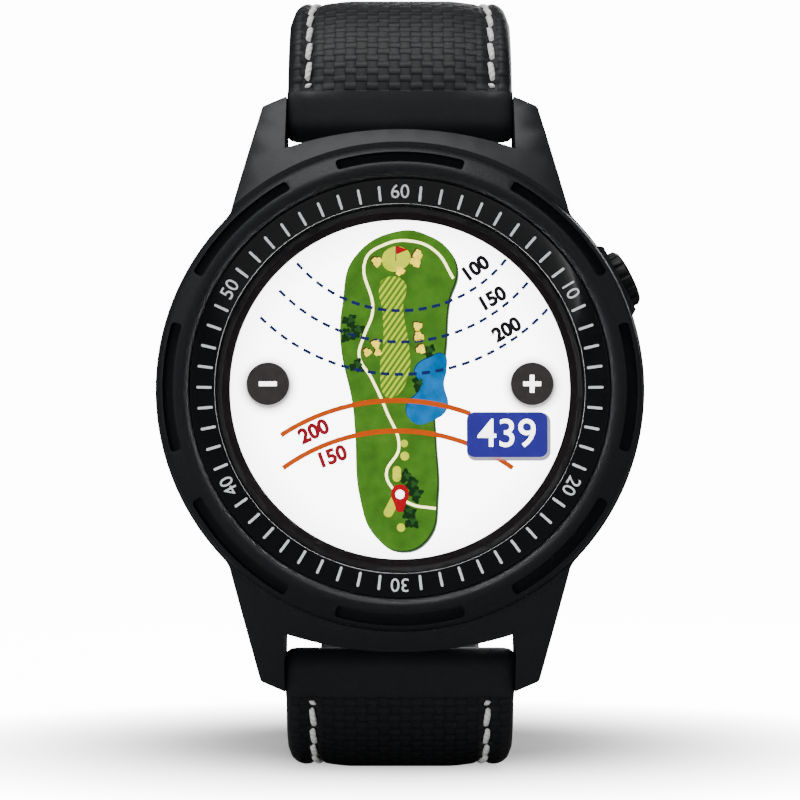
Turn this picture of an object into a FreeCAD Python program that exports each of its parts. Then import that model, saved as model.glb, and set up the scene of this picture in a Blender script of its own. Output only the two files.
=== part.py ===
import FreeCAD, Part
import math
import os
import Sketcher

# Golf GPS watch. Local frame of every body: x to three o'clock, y the depth behind the
# bezel's front face, z to twelve o'clock, origin on the axis of the dial.
# Every body is then placed so that the watch stands on its lower strap, floor at z = 0.

doc = FreeCAD.newDocument("golf_gps_watch")

DRIVING_SIZES = {
    # case
    "case_radius": 23.25,
    "case_front": 2.6,
    "case_back": 11.8,
    "ledge_depth": 3.3,
    "cavity_front": 4.5,
    "cavity_radius": 18.9,
    "opening_radius": 16.95,
    "lug_gap": 22.2,
    "lug_reach": 29.0,
    "lug_lean": 13.5,
    "lug_tip_rounding": 0.5,
    "waist_rounding": 3.0,
    "flange_radius": 36.0,
    "flange_offset": 11.0,
    "flange_depth": 6.2,
    "back_depth": 13.5,
    "cover_radius": 22.3,
    "screw_circle": 20.9,
    # front
    "bezel_radius": 23.0,
    "bezel_inner": 19.9,
    "slot_outer": 22.4,
    "slot_inner": 21.3,
    "slot_floor": 1.9,
    "slot_count": 8,
    "glass_radius": 17.4,
    "glass_front": 1.9,
    "glass_back": 3.1,
    "display_radius": 16.75,
    "display_back": 4.9,
    # inside
    "board_front": 6.2,
    "board_back": 7.0,
    "board_radius": 18.3,
    "battery_back": 11.3,
    # button
    "button_angle": 27.0,
    "button_depth": 7.8,
    "button_reach": 25.0,
    "guard_reach": 23.7,
    "cap_radius": 2.85,
    "stem_radius": 1.2,
    # spring bars
    "bar_offset": 26.5,
    "bar_depth": 9.0,
    "bar_radius": 0.9,
    "tip_radius": 0.45,
    "roll_radius": 2.1,
    # strap
    "strap_width": 21.8,
    "strap_end_width": 20.0,
    "skin": 1.2,
    "padding": 0.8,
    "lining": 1.0,
    "root_rise": 1.5,
    "bend_radius": 9.0,
    "crown_radius": 13.5,
    "crown_flat": 6.5,
    "drop_radius": 14.0,
    "drop_length": 32.5,
    "floor_flat": 31.1,
    "tail_radius": 40.0,
    "tail_turn": 86.0,
    "hole_count": 7,
    "hole_pitch": 9.3,
    "stitch_side": 9.0,
    # buckle and keepers
    "buckle_bar_radius": 0.75,
    "buckle_length": 11.5,
    "buckle_gap": 20.5,
    "buckle_width": 25.0,
    "keeper_length": 6.0,
    "keeper_wall": 1.0,
}

sheet = doc.addObject("Spreadsheet::Sheet", "dims")
for row, (alias, size) in enumerate(DRIVING_SIZES.items(), start=1):
    sheet.set(f"A{row}", alias)
    sheet.set(f"B{row}", str(size))
    sheet.setAlias(f"B{row}", alias)
doc.recompute()


def size(name):
    """Name of a driving dimension inside an expression."""
    return f"dims.{name}"


CENTRE_HEIGHT = "(dims.bar_offset + dims.root_rise + dims.bend_radius)"
ROLL_FRONT = "(dims.bar_depth - dims.roll_radius)"
REST_DEPTH = f"({ROLL_FRONT} + dims.bend_radius + dims.floor_flat / 2)"
STRAP_THICKNESS = "(dims.skin + dims.padding + dims.lining)"


def value(expression):
    """Number that an expression on the sheet stands for."""
    found = sheet.evalExpression(str(expression))
    return float(getattr(found, "Value", found))


def new_body(name):
    """Empty body of one named piece, placed with the standing watch."""
    body = doc.addObject("PartDesign::Body", name)
    body.Label = name
    body.AllowCompound = True
    body.setExpression("Placement.Base.y", f"-{REST_DEPTH}")
    body.setExpression("Placement.Base.z", CENTRE_HEIGHT)
    return body


def new_sketch(body, role, base=(0, 0, 0), turn_axis=(0, 0, 1), turn=0):
    """Sketch on an origin plane; base is an offset in the plane's own directions."""
    sketch = body.newObject("Sketcher::SketchObject", body.Name + "_sketch")
    plane = next(f for f in body.Origin.OriginFeatures if f.Role == role)
    sketch.AttachmentSupport = [(plane, "")]
    sketch.MapMode = "FlatFace"
    rotation = FreeCAD.Rotation(FreeCAD.Vector(*turn_axis), value(turn))
    shift = FreeCAD.Vector(*(value(part) for part in base))
    sketch.AttachmentOffset = FreeCAD.Placement(shift, rotation)
    for letter, part in zip("xyz", base):
        if part != 0:
            sketch.setExpression(f"AttachmentOffset.Base.{letter}", str(part))
    return sketch


def bind(sketch, constraint, expression):
    """Add one constraint and bind it to an expression."""
    number = sketch.addConstraint(constraint)
    sketch.renameConstraint(number, f"bound{number}")
    sketch.setExpression(f"Constraints.bound{number}", str(expression))


def outline(sketch, corners):
    """Closed outline of lines and arcs.

    Each corner is (x, y) or (x, y, radius, side): the arc leaves that corner, side 1 bulges
    to the left of the way it goes and side -1 to the right.
    """
    spots = [FreeCAD.Vector(value(c[0]), value(c[1]), 0) for c in corners]
    first = sketch.GeometryCount
    ends = []
    for index, corner in enumerate(corners):
        here = spots[index]
        there = spots[(index + 1) % len(spots)]
        if len(corner) == 2:
            sketch.addGeometry(Part.LineSegment(here, there), False)
            ends.append((1, 2))
            continue
        radius, side = value(corner[2]), corner[3]
        chord = there - here
        left = FreeCAD.Vector(-chord.y, chord.x, 0).normalize()
        half = chord.Length / 2
        sag = radius - math.sqrt(max(radius ** 2 - half ** 2, 0))
        middle = (here + there) * 0.5 + left * (sag * side)
        sketch.addGeometry(Part.Arc(here, middle, there), False)
        ends.append((1, 2) if side == -1 else (2, 1))
    for index, corner in enumerate(corners):
        edge = first + index
        following = first + (index + 1) % len(corners)
        start, finish = ends[index]
        next_start = ends[(index + 1) % len(corners)][0]
        sketch.addConstraint(Sketcher.Constraint("Coincident", edge, finish, following, next_start))
        spot = spots[index]
        bind(sketch, Sketcher.Constraint("DistanceX", -1, 1, edge, start, spot.x), corner[0])
        bind(sketch, Sketcher.Constraint("DistanceY", -1, 1, edge, start, spot.y), corner[1])
        if len(corner) == 4:
            bind(sketch, Sketcher.Constraint("Radius", edge, value(corner[2])), corner[2])


def circle(sketch, x, y, radius):
    """Circle with its centre and radius bound."""
    centre = FreeCAD.Vector(value(x), value(y), 0)
    sketch.addGeometry(Part.Circle(centre, FreeCAD.Vector(0, 0, 1), value(radius)), False)
    edge = sketch.GeometryCount - 1
    bind(sketch, Sketcher.Constraint("DistanceX", -1, 1, edge, 3, centre.x), x)
    bind(sketch, Sketcher.Constraint("DistanceY", -1, 1, edge, 3, centre.y), y)
    bind(sketch, Sketcher.Constraint("Radius", edge, value(radius)), radius)


def rectangle(sketch, left, right, low, high):
    """Rectangle between two x and two y expressions."""
    outline(sketch, [(left, low), (right, low), (right, high), (left, high)])


def feature(body, kind, sketch, **settings):
    """Pad or pocket of a sketch; a length given as text is bound."""
    made = body.newObject("PartDesign::" + kind, body.Name + "_" + kind.lower())
    made.Profile = sketch
    length = settings.pop("length", None)
    for name, setting in settings.items():
        setattr(made, name, setting)
    if length is not None:
        made.Length = value(length)
        made.setExpression("Length", str(length))
    body.Tip = made
    return made


def turned(body, corners, kind="Revolution"):
    """Ring or disc about the dial axis from corners (radius, depth)."""
    sketch = new_sketch(body, "XY_Plane")
    outline(sketch, corners)
    made = feature(body, kind, sketch)
    made.ReferenceAxis = (sketch, ["V_Axis"])
    return made


def front_sketch(body, depth):
    """Sketch facing the wearer at a depth; pads with Reversed go towards the wrist."""
    return new_sketch(body, "XZ_Plane", (0, 0, f"-({depth})"))


def ring(name, inner, outer, front, back):
    """Plain ring or disc piece about the dial axis."""
    body = new_body(name)
    turned(body, [(inner, front), (outer, front), (outer, back), (inner, back)])
    return body


def plate(name, left, right, low, high, front, back):
    """Rectangular plate piece between two depths."""
    body = new_body(name)
    sketch = front_sketch(body, front)
    rectangle(sketch, left, right, low, high)
    feature(body, "Pad", sketch, Reversed=True, length=f"({back}) - ({front})")
    return body


def round_edges(body, radius, chosen):
    """Fillet the edges of the body's last shape that a test picks."""
    doc.recompute()
    last = body.Tip
    names = [f"Edge{n}" for n, edge in enumerate(last.Shape.Edges, start=1) if chosen(edge)]
    made = body.newObject("PartDesign::Fillet", body.Name + "_fillet")
    made.Base = (last, names)
    made.Radius = value(radius)
    made.setExpression("Radius", str(radius))
    body.Tip = made
    return made


def along_depth(edge):
    """True for a straight edge that runs along the dial axis."""
    if not isinstance(edge.Curve, Part.Line):
        return False
    return abs(edge.Curve.Direction.y) > 0.999


# ---------------------------------------------------------------- case


def lug_outline(sketch):
    """Plan of the block that the four lugs are cut from."""
    slope = "tan(dims.lug_lean)"
    tip_x = "(dims.lug_gap / 2 + 2.35)"
    foot_x = f"({tip_x} + 14 * {slope})"
    high = size("lug_reach")
    shoulder = f"({high} - 1)"
    foot = f"({high} - 14.8)"
    inner = "(dims.lug_gap / 2)"
    right = [(foot_x, foot), (tip_x, shoulder), (inner, high)]
    corners = [(f"-{foot_x}", f"-{foot}"), (f"-{tip_x}", f"-{shoulder}"), (f"-{inner}", f"-{high}")]
    corners += [(x, f"-{z}") for x, z in reversed(right)]
    corners += right
    corners += [(f"-{x}", z) for x, z in reversed(right)]
    outline(sketch, corners)


def on_lug(edge, low, high):
    """True for an edge along the depth whose height is between two limits."""
    return along_depth(edge) and low < abs(edge.CenterOfMass.z) < high and edge.Length > 2


def strap_space(sketch, side):
    """Plan of the space for the strap between two lugs, beyond the flange's arc."""
    half = "dims.lug_gap / 2"
    low = f"({side}) * (sqrt(dims.flange_radius ^ 2 - ({half}) ^ 2) - dims.flange_offset)"
    far = f"({side}) * (dims.lug_reach + 3)"
    corners = [(f"-{half}", low, size("flange_radius"), side), (half, low)]
    corners += [(half, far), (f"-{half}", far)]
    outline(sketch, corners)


def button_plane(body, reach):
    """Sketch across the button's axis at a distance from the dial axis."""
    angle = size("button_angle")
    base = (size("button_depth"), f"({reach}) * sin({angle})", f"({reach}) * cos({angle})")
    return new_sketch(body, "YZ_Plane", base, (1, 0, 0), f"-{angle}")


def make_mid_case():
    """Case body: lugs, flanges, button guards, cavity and bores."""
    body = new_body("mid_case")
    turned(body, [
        (0, size("case_front")),
        ("dims.case_radius - 0.2", size("case_front")),
        (size("case_radius"), "dims.case_front + 0.2"),
        (size("case_radius"), "dims.case_back - 2"),
        ("dims.case_radius - 0.8", size("case_back")),
        (0, size("case_back")),
    ])
    sketch = front_sketch(body, size("case_front"))
    lug_outline(sketch)
    feature(body, "Pad", sketch, Reversed=True, length="dims.case_back - dims.case_front")
    round_edges(body, size("lug_tip_rounding"), lambda edge: on_lug(edge, 26, 30))
    round_edges(body, size("waist_rounding"), lambda edge: on_lug(edge, 15, 20))
    for side in (1, -1):
        sketch = front_sketch(body, 0)
        strap_space(sketch, side)
        feature(body, "Pocket", sketch, length="dims.case_back + 1")
        sketch = front_sketch(body, size("flange_depth"))
        half = "dims.lug_gap / 2"
        wall = "sqrt(dims.case_radius ^ 2 - (dims.lug_gap / 2) ^ 2)"
        corners = [(f"-{half}", f"({side}) * {wall}", size("case_radius"), side)]
        corners += [(half, f"({side}) * {wall}")]
        corners += [(half, f"({side}) * 28"), (f"-{half}", f"({side}) * 28")]
        outline(sketch, corners)
        feature(body, "Pocket", sketch, length=size("case_back"))
        sketch = new_sketch(body, "YZ_Plane")
        back, reach = size("case_back"), size("lug_reach")
        outline(sketch, [
            (f"{back} + 1", f"({side}) * ({reach} - 7)"),
            (f"{back} + 1", f"({side}) * ({reach} + 1)"),
            (f"{back} - 1.6", f"({side}) * ({reach} + 1)"),
            (back, f"({side}) * ({reach} - 7)"),
        ])
        feature(body, "Pocket", sketch, SideType="Symmetric", length="dims.case_radius * 2")
    rim, front = "dims.case_radius + 0.4", size("case_front")
    turned(body, [
        (rim, f"{front} - 1"),
        (rim, front),
        ("dims.lug_reach + 4", f"{front} + 5.6"),
        ("dims.lug_reach + 4", f"{front} - 1"),
    ], "Groove")

    angle = size("button_angle")
    sketch = new_sketch(body, "XZ_Plane", (0, 0, "-(dims.button_depth - 3.5)"), (0, 0, 1), angle)
    foot, guard = "dims.case_radius - 3", size("guard_reach")
    outline(sketch, [
        (foot, -4.1),
        (f"{guard} - 1", -4.1),
        (guard, -3.4),
        (guard, 3.4),
        (f"{guard} - 1", 4.1),
        (foot, 4.1),
    ])
    feature(body, "Pad", sketch, Reversed=True, length="7")
    for inner, reach in (("dims.cap_radius + 0.2", 22.9), ("dims.stem_radius + 0.6", 18)):
        sketch = button_plane(body, "dims.button_reach + 1")
        circle(sketch, 0, 0, inner)
        feature(body, "Pocket", sketch, length=f"dims.button_reach + 1 - {reach}")
    sketch = front_sketch(body, size("cavity_front"))
    circle(sketch, 0, 0, size("cavity_radius"))
    feature(body, "Pocket", sketch, length=size("case_back"))
    sketch = front_sketch(body, 0)
    circle(sketch, 0, 0, size("opening_radius"))
    feature(body, "Pocket", sketch, length="dims.cavity_front + 1")
    sketch = front_sketch(body, 0)
    circle(sketch, 0, 0, "dims.bezel_radius + 0.05")
    feature(body, "Pocket", sketch, length=size("ledge_depth"))
    sketch = new_sketch(body, "YZ_Plane")
    for side in (1, -1):
        circle(sketch, size("bar_depth"), f"({side}) * dims.bar_offset", "dims.tip_radius + 0.05")
    feature(body, "Pocket", sketch, SideType="Symmetric", length="dims.lug_gap + 2.6")
    sketch = front_sketch(body, "dims.case_back - 3")
    for turn in (45, 135, 225, 315):
        spot = [f"dims.screw_circle * {part}({turn})" for part in ("cos", "sin")]
        circle(sketch, *spot, 0.85)
    feature(body, "Pocket", sketch, length="4")
    return body


def make_bezel():
    """Bezel ring, rounded over, with eight slots."""
    body = new_body("bezel")
    turned(body, [
        (size("bezel_inner"), 0.9, 1.1, -1),
        ("dims.bezel_inner + 0.9", 0),
        ("dims.bezel_inner + 1.2", 0, 3.2, -1),
        (size("bezel_radius"), 2.1),
        (size("bezel_radius"), size("ledge_depth")),
        (size("bezel_inner"), size("ledge_depth")),
    ])
    sketch = front_sketch(body, 0)
    outer, inner = size("slot_outer"), size("slot_inner")
    sweep_outer, sweep_inner = 16.3, 13.5
    outline(sketch, [
        (f"-{outer} * sin({sweep_outer})", f"{outer} * cos({sweep_outer})", outer, 1),
        (f"{outer} * sin({sweep_outer})", f"{outer} * cos({sweep_outer})"),
        (f"{inner} * sin({sweep_inner})", f"{inner} * cos({sweep_inner})", inner, -1),
        (f"-{inner} * sin({sweep_inner})", f"{inner} * cos({sweep_inner})"),
    ])
    slot = feature(body, "Pocket", sketch, length=size("slot_floor"))
    pattern = body.newObject("PartDesign::PolarPattern", "bezel_slots")
    pattern.Originals = [slot]
    pattern.Axis = (sketch, ["N_Axis"])
    pattern.Angle = 360
    pattern.Occurrences = 8
    pattern.setExpression("Occurrences", size("slot_count"))
    body.Tip = pattern
    return body


def make_front_stack():
    """Tick ring, glass, gasket, touch sensor, display and its frame."""
    body = new_body("tick_ring")
    inner, outer = "dims.glass_radius + 0.1", "dims.bezel_inner - 0.05"
    turned(body, [
        (inner, 1.55),
        (outer, 0.95),
        (outer, size("ledge_depth")),
        (inner, size("ledge_depth")),
    ])
    body = new_body("cover_glass")
    turned(body, [
        (0, size("glass_front")),
        ("dims.glass_radius - 0.15", size("glass_front")),
        (size("glass_radius"), "dims.glass_front + 0.15"),
        (size("glass_radius"), size("glass_back")),
        (0, size("glass_back")),
    ])
    ring("glass_gasket", size("opening_radius"), size("glass_radius"), size("glass_back"),
         size("ledge_depth"))
    ring("touch_sensor", 0, size("display_radius"), size("glass_back"), size("ledge_depth"))
    ring("display_panel", 0, size("display_radius"), size("ledge_depth"), size("display_back"))
    body = new_body("display_frame")
    turned(body, [
        (0, "dims.display_back + 0.1"),
        (size("opening_radius"), "dims.display_back + 0.1"),
        (size("opening_radius"), "dims.cavity_front + 0.05"),
        ("dims.cavity_radius - 0.1", "dims.cavity_front + 0.05"),
        ("dims.cavity_radius - 0.1", "dims.board_front - 0.4"),
        (0, "dims.board_front - 0.4"),
    ])
    sketch = front_sketch(body, 0)
    rectangle(sketch, -4, 4, -20, -14.8)
    feature(body, "Pocket", sketch, length=size("board_front"))


def bent_strip(name, half_width, low, near, far, front, back, thickness):
    """Flexible circuit that leaves one face, bends round an edge and meets another."""
    body = new_body(name)
    sketch = new_sketch(body, "YZ_Plane")
    outline(sketch, [
        (front, near),
        (front, low),
        (back, low),
        (back, far),
        (f"({back}) - {thickness}", far),
        (f"({back}) - {thickness}", f"{low} + {thickness}"),
        (f"({front}) + {thickness}", f"{low} + {thickness}"),
        (f"({front}) + {thickness}", near),
    ])
    feature(body, "Pad", sketch, SideType="Symmetric", length=f"2 * {half_width}")
    return body


def make_electronics():
    """Circuit board, its parts, battery, motor, antenna and flexible circuits."""
    front, back = size("board_front"), size("board_back")
    bent_strip("display_flex", 3.5, -17.4, -15, -15, "dims.display_back + 0.05",
               "dims.board_front - 0.05", 0.15)
    board = ring("main_board", 0, size("board_radius"), front, back)
    sketch = new_sketch(board, "XZ_Plane", (0, 0, f"-({front})"), (0, 0, 1), size("button_angle"))
    rectangle(sketch, 16.4, 19, -2.3, 2.3)
    feature(board, "Pocket", sketch, length="2")
    plate("shield_can", -8, 8, 8.6, 14.8, back, "dims.board_back + 1.8")
    plate("battery_connector", 12.2, 15, -10.2, -7.2, back, "dims.board_back + 1.4")

    chips = new_body("board_chips")
    sketch = front_sketch(chips, back)
    rectangle(sketch, 12.3, 16.2, -3.6, 1.2)
    rectangle(sketch, -15.2, -12.2, 5.4, 8.6)
    rectangle(sketch, 9.6, 12.4, 9.4, 11.8)
    feature(chips, "Pad", sketch, Reversed=True, length="1")

    battery = plate("battery", -11, 11, -14.5, 7.5, "dims.board_back + 0.6", size("battery_back"))
    round_edges(battery, 2, along_depth)

    lead = new_body("battery_lead")
    for shift in (0, 0.9):
        path = new_sketch(lead, "XZ_Plane", (0, 0, "-(dims.board_back + 0.95)"))
        turn_x, run_z = f"13.9 - {shift}", f"-5.2 - {shift}"
        spots = [("11.1", run_z), (turn_x, run_z), (turn_x, "-7.1")]
        points = [FreeCAD.Vector(value(x), value(z), 0) for x, z in spots]
        path.addGeometry(Part.LineSegment(points[0], points[1]), False)
        path.addGeometry(Part.LineSegment(points[1], points[2]), False)
        path.addConstraint(Sketcher.Constraint("Coincident", 0, 2, 1, 1))
        for edge, spot, point in ((0, 1, 0), (0, 2, 1), (1, 2, 2)):
            at, text = points[point], spots[point]
            bind(path, Sketcher.Constraint("DistanceX", -1, 1, edge, spot, at.x), text[0])
            bind(path, Sketcher.Constraint("DistanceY", -1, 1, edge, spot, at.y), text[1])
        section = new_sketch(lead, "YZ_Plane", ("dims.board_back + 0.95", run_z, 11.1))
        circle(section, 0, 0, 0.32)
        pipe = lead.newObject("PartDesign::AdditivePipe", "battery_wire")
        pipe.Profile = section
        pipe.Spine = (path, ["Edge1", "Edge2"])
        pipe.Transition = "Round corner"
        lead.Tip = pipe

    motor = new_body("vibration_motor")
    sketch = front_sketch(motor, back)
    circle(sketch, -14.8, -1, 3.4)
    feature(motor, "Pad", sketch, Reversed=True, length="2.7")

    antenna = new_body("gps_antenna")
    sketch = front_sketch(antenna, "dims.board_back + 0.6")
    outer, inner = "(dims.cavity_radius - 0.15)", "(dims.cavity_radius - 0.45)"
    outline(sketch, [
        (f"-{outer} * sin(40)", f"{outer} * cos(40)", outer, 1),
        (f"{outer} * sin(40)", f"{outer} * cos(40)"),
        (f"{inner} * sin(40)", f"{inner} * cos(40)", inner, -1),
        (f"-{inner} * sin(40)", f"{inner} * cos(40)"),
    ])
    feature(antenna, "Pad", sketch, Reversed=True, length="3.6")

    bent_strip("charge_flex", 3.5, -16.6, -15.2, -11.4, "dims.board_back + 0.05",
               "dims.case_back + 0.05", 0.15)

    switch = new_body("button_switch")
    sketch = new_sketch(switch, "XZ_Plane", (0, 0, f"-({back})"), (0, 0, 1), size("button_angle"))
    rectangle(sketch, 14.6, 16.8, -1.8, 1.8)
    feature(switch, "Pad", sketch, Reversed=True, length="1.6")


def make_back():
    """Back cover with gasket groove, screws and charging contacts."""
    body = new_body("back_cover")
    face, back = size("case_back"), size("back_depth")
    turned(body, [
        (0, "dims.case_back + 0.5"),
        ("dims.cavity_radius - 0.7", "dims.case_back + 0.5"),
        ("dims.cavity_radius - 0.7", face),
        ("dims.cavity_radius + 0.3", face),
        ("dims.cavity_radius + 0.3", "dims.case_back + 0.45"),
        ("dims.cavity_radius + 0.9", "dims.case_back + 0.45"),
        ("dims.cavity_radius + 0.9", face),
        (size("cover_radius"), face),
        (size("cover_radius"), "dims.case_back + 0.5"),
        ("dims.cover_radius - 3.8", back),
        (0, back),
    ])
    spots = []
    for turn in (45, 135, 225, 315):
        spots.append([f"dims.screw_circle * {part}({turn})" for part in ("cos", "sin")])
    for depth, radius in ((face, 0.85), ("dims.case_back + 0.6", 1.25)):
        sketch = front_sketch(body, depth)
        for spot in spots:
            circle(sketch, *spot, radius)
        feature(body, "Pocket", sketch, length="3")
    contacts = [(f"{step} * 2.4", -12.6) for step in (-1.5, -0.5, 0.5, 1.5)]
    sketch = front_sketch(body, face)
    for spot in contacts:
        circle(sketch, *spot, 0.8)
    feature(body, "Pocket", sketch, length="3")

    screws = new_body("back_screws")
    for start, radius, length in (("dims.case_back - 2.8", 0.8, 3.4), ("dims.case_back + 0.6", 1.2, 0.45)):
        sketch = front_sketch(screws, start)
        for spot in spots:
            circle(sketch, *spot, radius)
        feature(screws, "Pad", sketch, Reversed=True, length=length)
    sketch = front_sketch(screws, "dims.case_back + 0.75")
    for spot in spots:
        circle(sketch, *spot, 0.45)
    feature(screws, "Pocket", sketch, length=1)

    body = new_body("charge_contacts")
    sketch = front_sketch(body, "dims.case_back + 0.1")
    for spot in contacts:
        circle(sketch, *spot, 0.75)
    feature(body, "Pad", sketch, Reversed=True, length="dims.back_depth - dims.case_back - 0.2")
    ring("back_gasket", "dims.cavity_radius + 0.35", "dims.cavity_radius + 0.85", face,
         "dims.case_back + 0.4")


# ---------------------------------------------------------------- button


def button_turned(name, corners):
    """Turned piece on the button's axis from corners (distance from dial axis, radius)."""
    body = new_body(name)
    below_front = (0, 0, "-dims.button_depth")
    sketch = new_sketch(body, "XZ_Plane", below_front, (0, 0, 1), size("button_angle"))
    outline(sketch, corners)
    made = feature(body, "Revolution", sketch)
    made.ReferenceAxis = (sketch, ["H_Axis"])
    return body


def make_button():
    """Push button with stem, seal, clip, bush and return spring."""
    reach = size("button_reach")
    stem = size("stem_radius")
    cap = button_turned("button_cap", [
        (f"{reach} - 1.3", "dims.cap_radius - 0.6"),
        (f"{reach} - 1.3", size("cap_radius")),
        (f"{reach} - 0.3", size("cap_radius")),
        (reach, "dims.cap_radius - 0.3"),
        (reach, 0),
        (f"{reach} - 0.6", 0),
        (f"{reach} - 0.6", "dims.cap_radius - 0.6"),
    ])
    for step in range(16):
        angle = f"{360 / 16 * step}"
        sketch = button_plane(cap, "dims.button_reach + 0.5")
        circle(sketch, f"(dims.cap_radius + 0.1) * cos({angle})",
               f"(dims.cap_radius + 0.1) * sin({angle})", 0.28)
        feature(cap, "Pocket", sketch, length="3")
    button_turned("button_stem", [
        (17.5, 0),
        (17.5, stem),
        (17.8, stem),
        (17.8, 0.8),
        (18.3, 0.8),
        (18.3, stem),
        (20.6, stem),
        (20.6, 0.72),
        (21.2, 0.72),
        (21.2, stem),
        (f"{reach} - 0.62", stem),
        (f"{reach} - 0.62", 0),
    ])
    button_turned("button_clip", [(17.85, 0.85), (17.85, 1.9), (18.25, 1.9), (18.25, 0.85)])
    button_turned("button_tube", [
        (19.1, "dims.stem_radius + 0.05"),
        (19.1, "dims.stem_radius + 0.55"),
        (22.85, "dims.stem_radius + 0.55"),
        (22.85, "dims.stem_radius + 0.05"),
    ])
    button_turned("button_o_ring", [(20.65, 0.76), (20.65, 1.22), (21.15, 1.22), (21.15, 0.76)])

    spring = new_body("button_spring")
    angle = size("button_angle")
    sketch = new_sketch(spring, "XZ_Plane", (0, 0, "-dims.button_depth"), (0, 0, 1), angle)
    circle(sketch, 23.1, 1.7, 0.14)
    coil_up(spring, sketch, 0.42, 1.0)


def coil_up(body, sketch, pitch, height):
    """Round wire of a sketch wound about the sketch's horizontal axis."""
    coil = body.newObject("PartDesign::AdditiveHelix", body.Name + "_coil")
    coil.Profile = sketch
    coil.ReferenceAxis = (sketch, ["H_Axis"])
    coil.Mode = "pitch-height-angle"
    coil.Pitch = pitch
    coil.Height = height
    body.Tip = coil


# ---------------------------------------------------------------- spring bars


def bar_turned(name, side, corners):
    """Turned piece on a spring bar's axis from corners (x, radius)."""
    body = new_body(name)
    base = (0, f"({side}) * dims.bar_offset", "-dims.bar_depth")
    sketch = new_sketch(body, "XZ_Plane", base)
    outline(sketch, corners)
    made = feature(body, "Revolution", sketch)
    made.ReferenceAxis = (sketch, ["H_Axis"])
    return body


def make_spring_bar(name, side):
    """Tube, coil and two sprung tips of one spring bar."""
    radius, tip = size("bar_radius"), size("tip_radius")
    bar_turned(f"{name}_bar_tube", side, [
        (-10.4, radius),
        (10.4, radius),
        (10.4, 0.5),
        (10.1, 0.5),
        (10.1, 0.7),
        (-10.1, 0.7),
        (-10.1, 0.5),
        (-10.4, 0.5),
    ])
    for word, sign in (("left", -1), ("right", 1)):
        bar_turned(f"{name}_bar_tip_{word}", side, [
            (f"({sign}) * 7.6", 0),
            (f"({sign}) * 12.2", 0),
            (f"({sign}) * 12.2", tip),
            (f"({sign}) * 10.05", tip),
            (f"({sign}) * 10.05", 0.64),
            (f"({sign}) * 7.6", 0.64),
        ])
    spring = new_body(f"{name}_bar_spring")
    base = (0, f"({side}) * dims.bar_offset", "-dims.bar_depth")
    sketch = new_sketch(spring, "XZ_Plane", base)
    circle(sketch, -7.4, 0.5, 0.11)
    coil_up(spring, sketch, 0.82, 14.8)


# ---------------------------------------------------------------- strap


class Path:
    """Way of a strap's outer face in (depth, height), as expressions."""

    def __init__(self, side):
        self.side = side
        self.spots = [(ROLL_FRONT, "dims.bar_offset", "0")]
        self.bends = []

    def straight(self, length):
        """Go on without turning."""
        depth, height, turn = self.spots[-1]
        self.spots.append((
            f"{depth} + {length} * sin({turn})",
            f"{height} + {length} * cos({turn})",
            turn,
        ))
        self.bends.append(None)
        return self

    def bend(self, radius, angle):
        """Turn towards the wrist."""
        depth, height, turn = self.spots[-1]
        end = f"({turn} + {angle})"
        self.spots.append((
            f"{depth} + {radius} * (cos({turn}) - cos({end}))",
            f"{height} + {radius} * (sin({end}) - sin({turn}))",
            end,
        ))
        self.bends.append(radius)
        return self

    def at(self, index, inward):
        """Corner of the path moved towards the wrist."""
        depth, height, turn = self.spots[index]
        return (
            f"{depth} + ({inward}) * cos({turn})",
            f"({self.side}) * ({height} - ({inward}) * sin({turn}))",
        )

    def band(self, outer, inner, first=0, last=None):
        """Closed outline between two offsets of the path."""
        last = len(self.spots) - 1 if last is None else last
        corners = []
        for index in range(first, last):
            corners.append(self._edge(index, outer, self.bends[index], self.side))
        corners.append(self.at(last, outer))
        for index in range(last, first, -1):
            corners.append(self._edge(index, inner, self.bends[index - 1], -self.side))
        corners.append(self.at(first, inner))
        return corners

    def _edge(self, index, inward, radius, bulge):
        corner = self.at(index, inward)
        if radius is None:
            return corner
        return corner + (f"{radius} - ({inward})", bulge)


def buckle_half(drop):
    """Path of the upper strap, with the length of its last straight."""
    path = Path(1).straight("dims.root_rise").bend("dims.crown_radius", 90)
    return path.straight("dims.crown_flat").bend("dims.drop_radius", 90).straight(drop)


def tail_half(short):
    """Path of the lower strap that stops some degrees short of the tip."""
    path = Path(-1).straight("dims.root_rise").bend("dims.bend_radius", 90)
    return path.straight("dims.floor_flat").bend("dims.tail_radius", f"(dims.tail_turn - {short})")


def taper(body):
    """Narrow the strap from the lugs towards its end."""
    near, far = "dims.strap_width / 2", "dims.strap_end_width / 2"
    sketch = new_sketch(body, "XY_Plane")
    for sign in (1, -1):
        outline(sketch, [
            (f"({sign}) * {near}", "dims.bar_depth + 3"),
            (f"({sign}) * {far}", "42"),
            (f"({sign}) * {far}", "100"),
            (f"({sign}) * ({near} + 2)", "100"),
            (f"({sign}) * ({near} + 2)", "dims.bar_depth + 3"),
        ])
    feature(body, "Pocket", sketch, SideType="Symmetric", length="120")


def padded_band(body, path, outer, inner, width, first=0):
    """Band of the strap between two offsets."""
    sketch = new_sketch(body, "YZ_Plane")
    outline(sketch, path.band(outer, inner, first))
    feature(body, "Pad", sketch, SideType="Symmetric", length=width)


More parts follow.
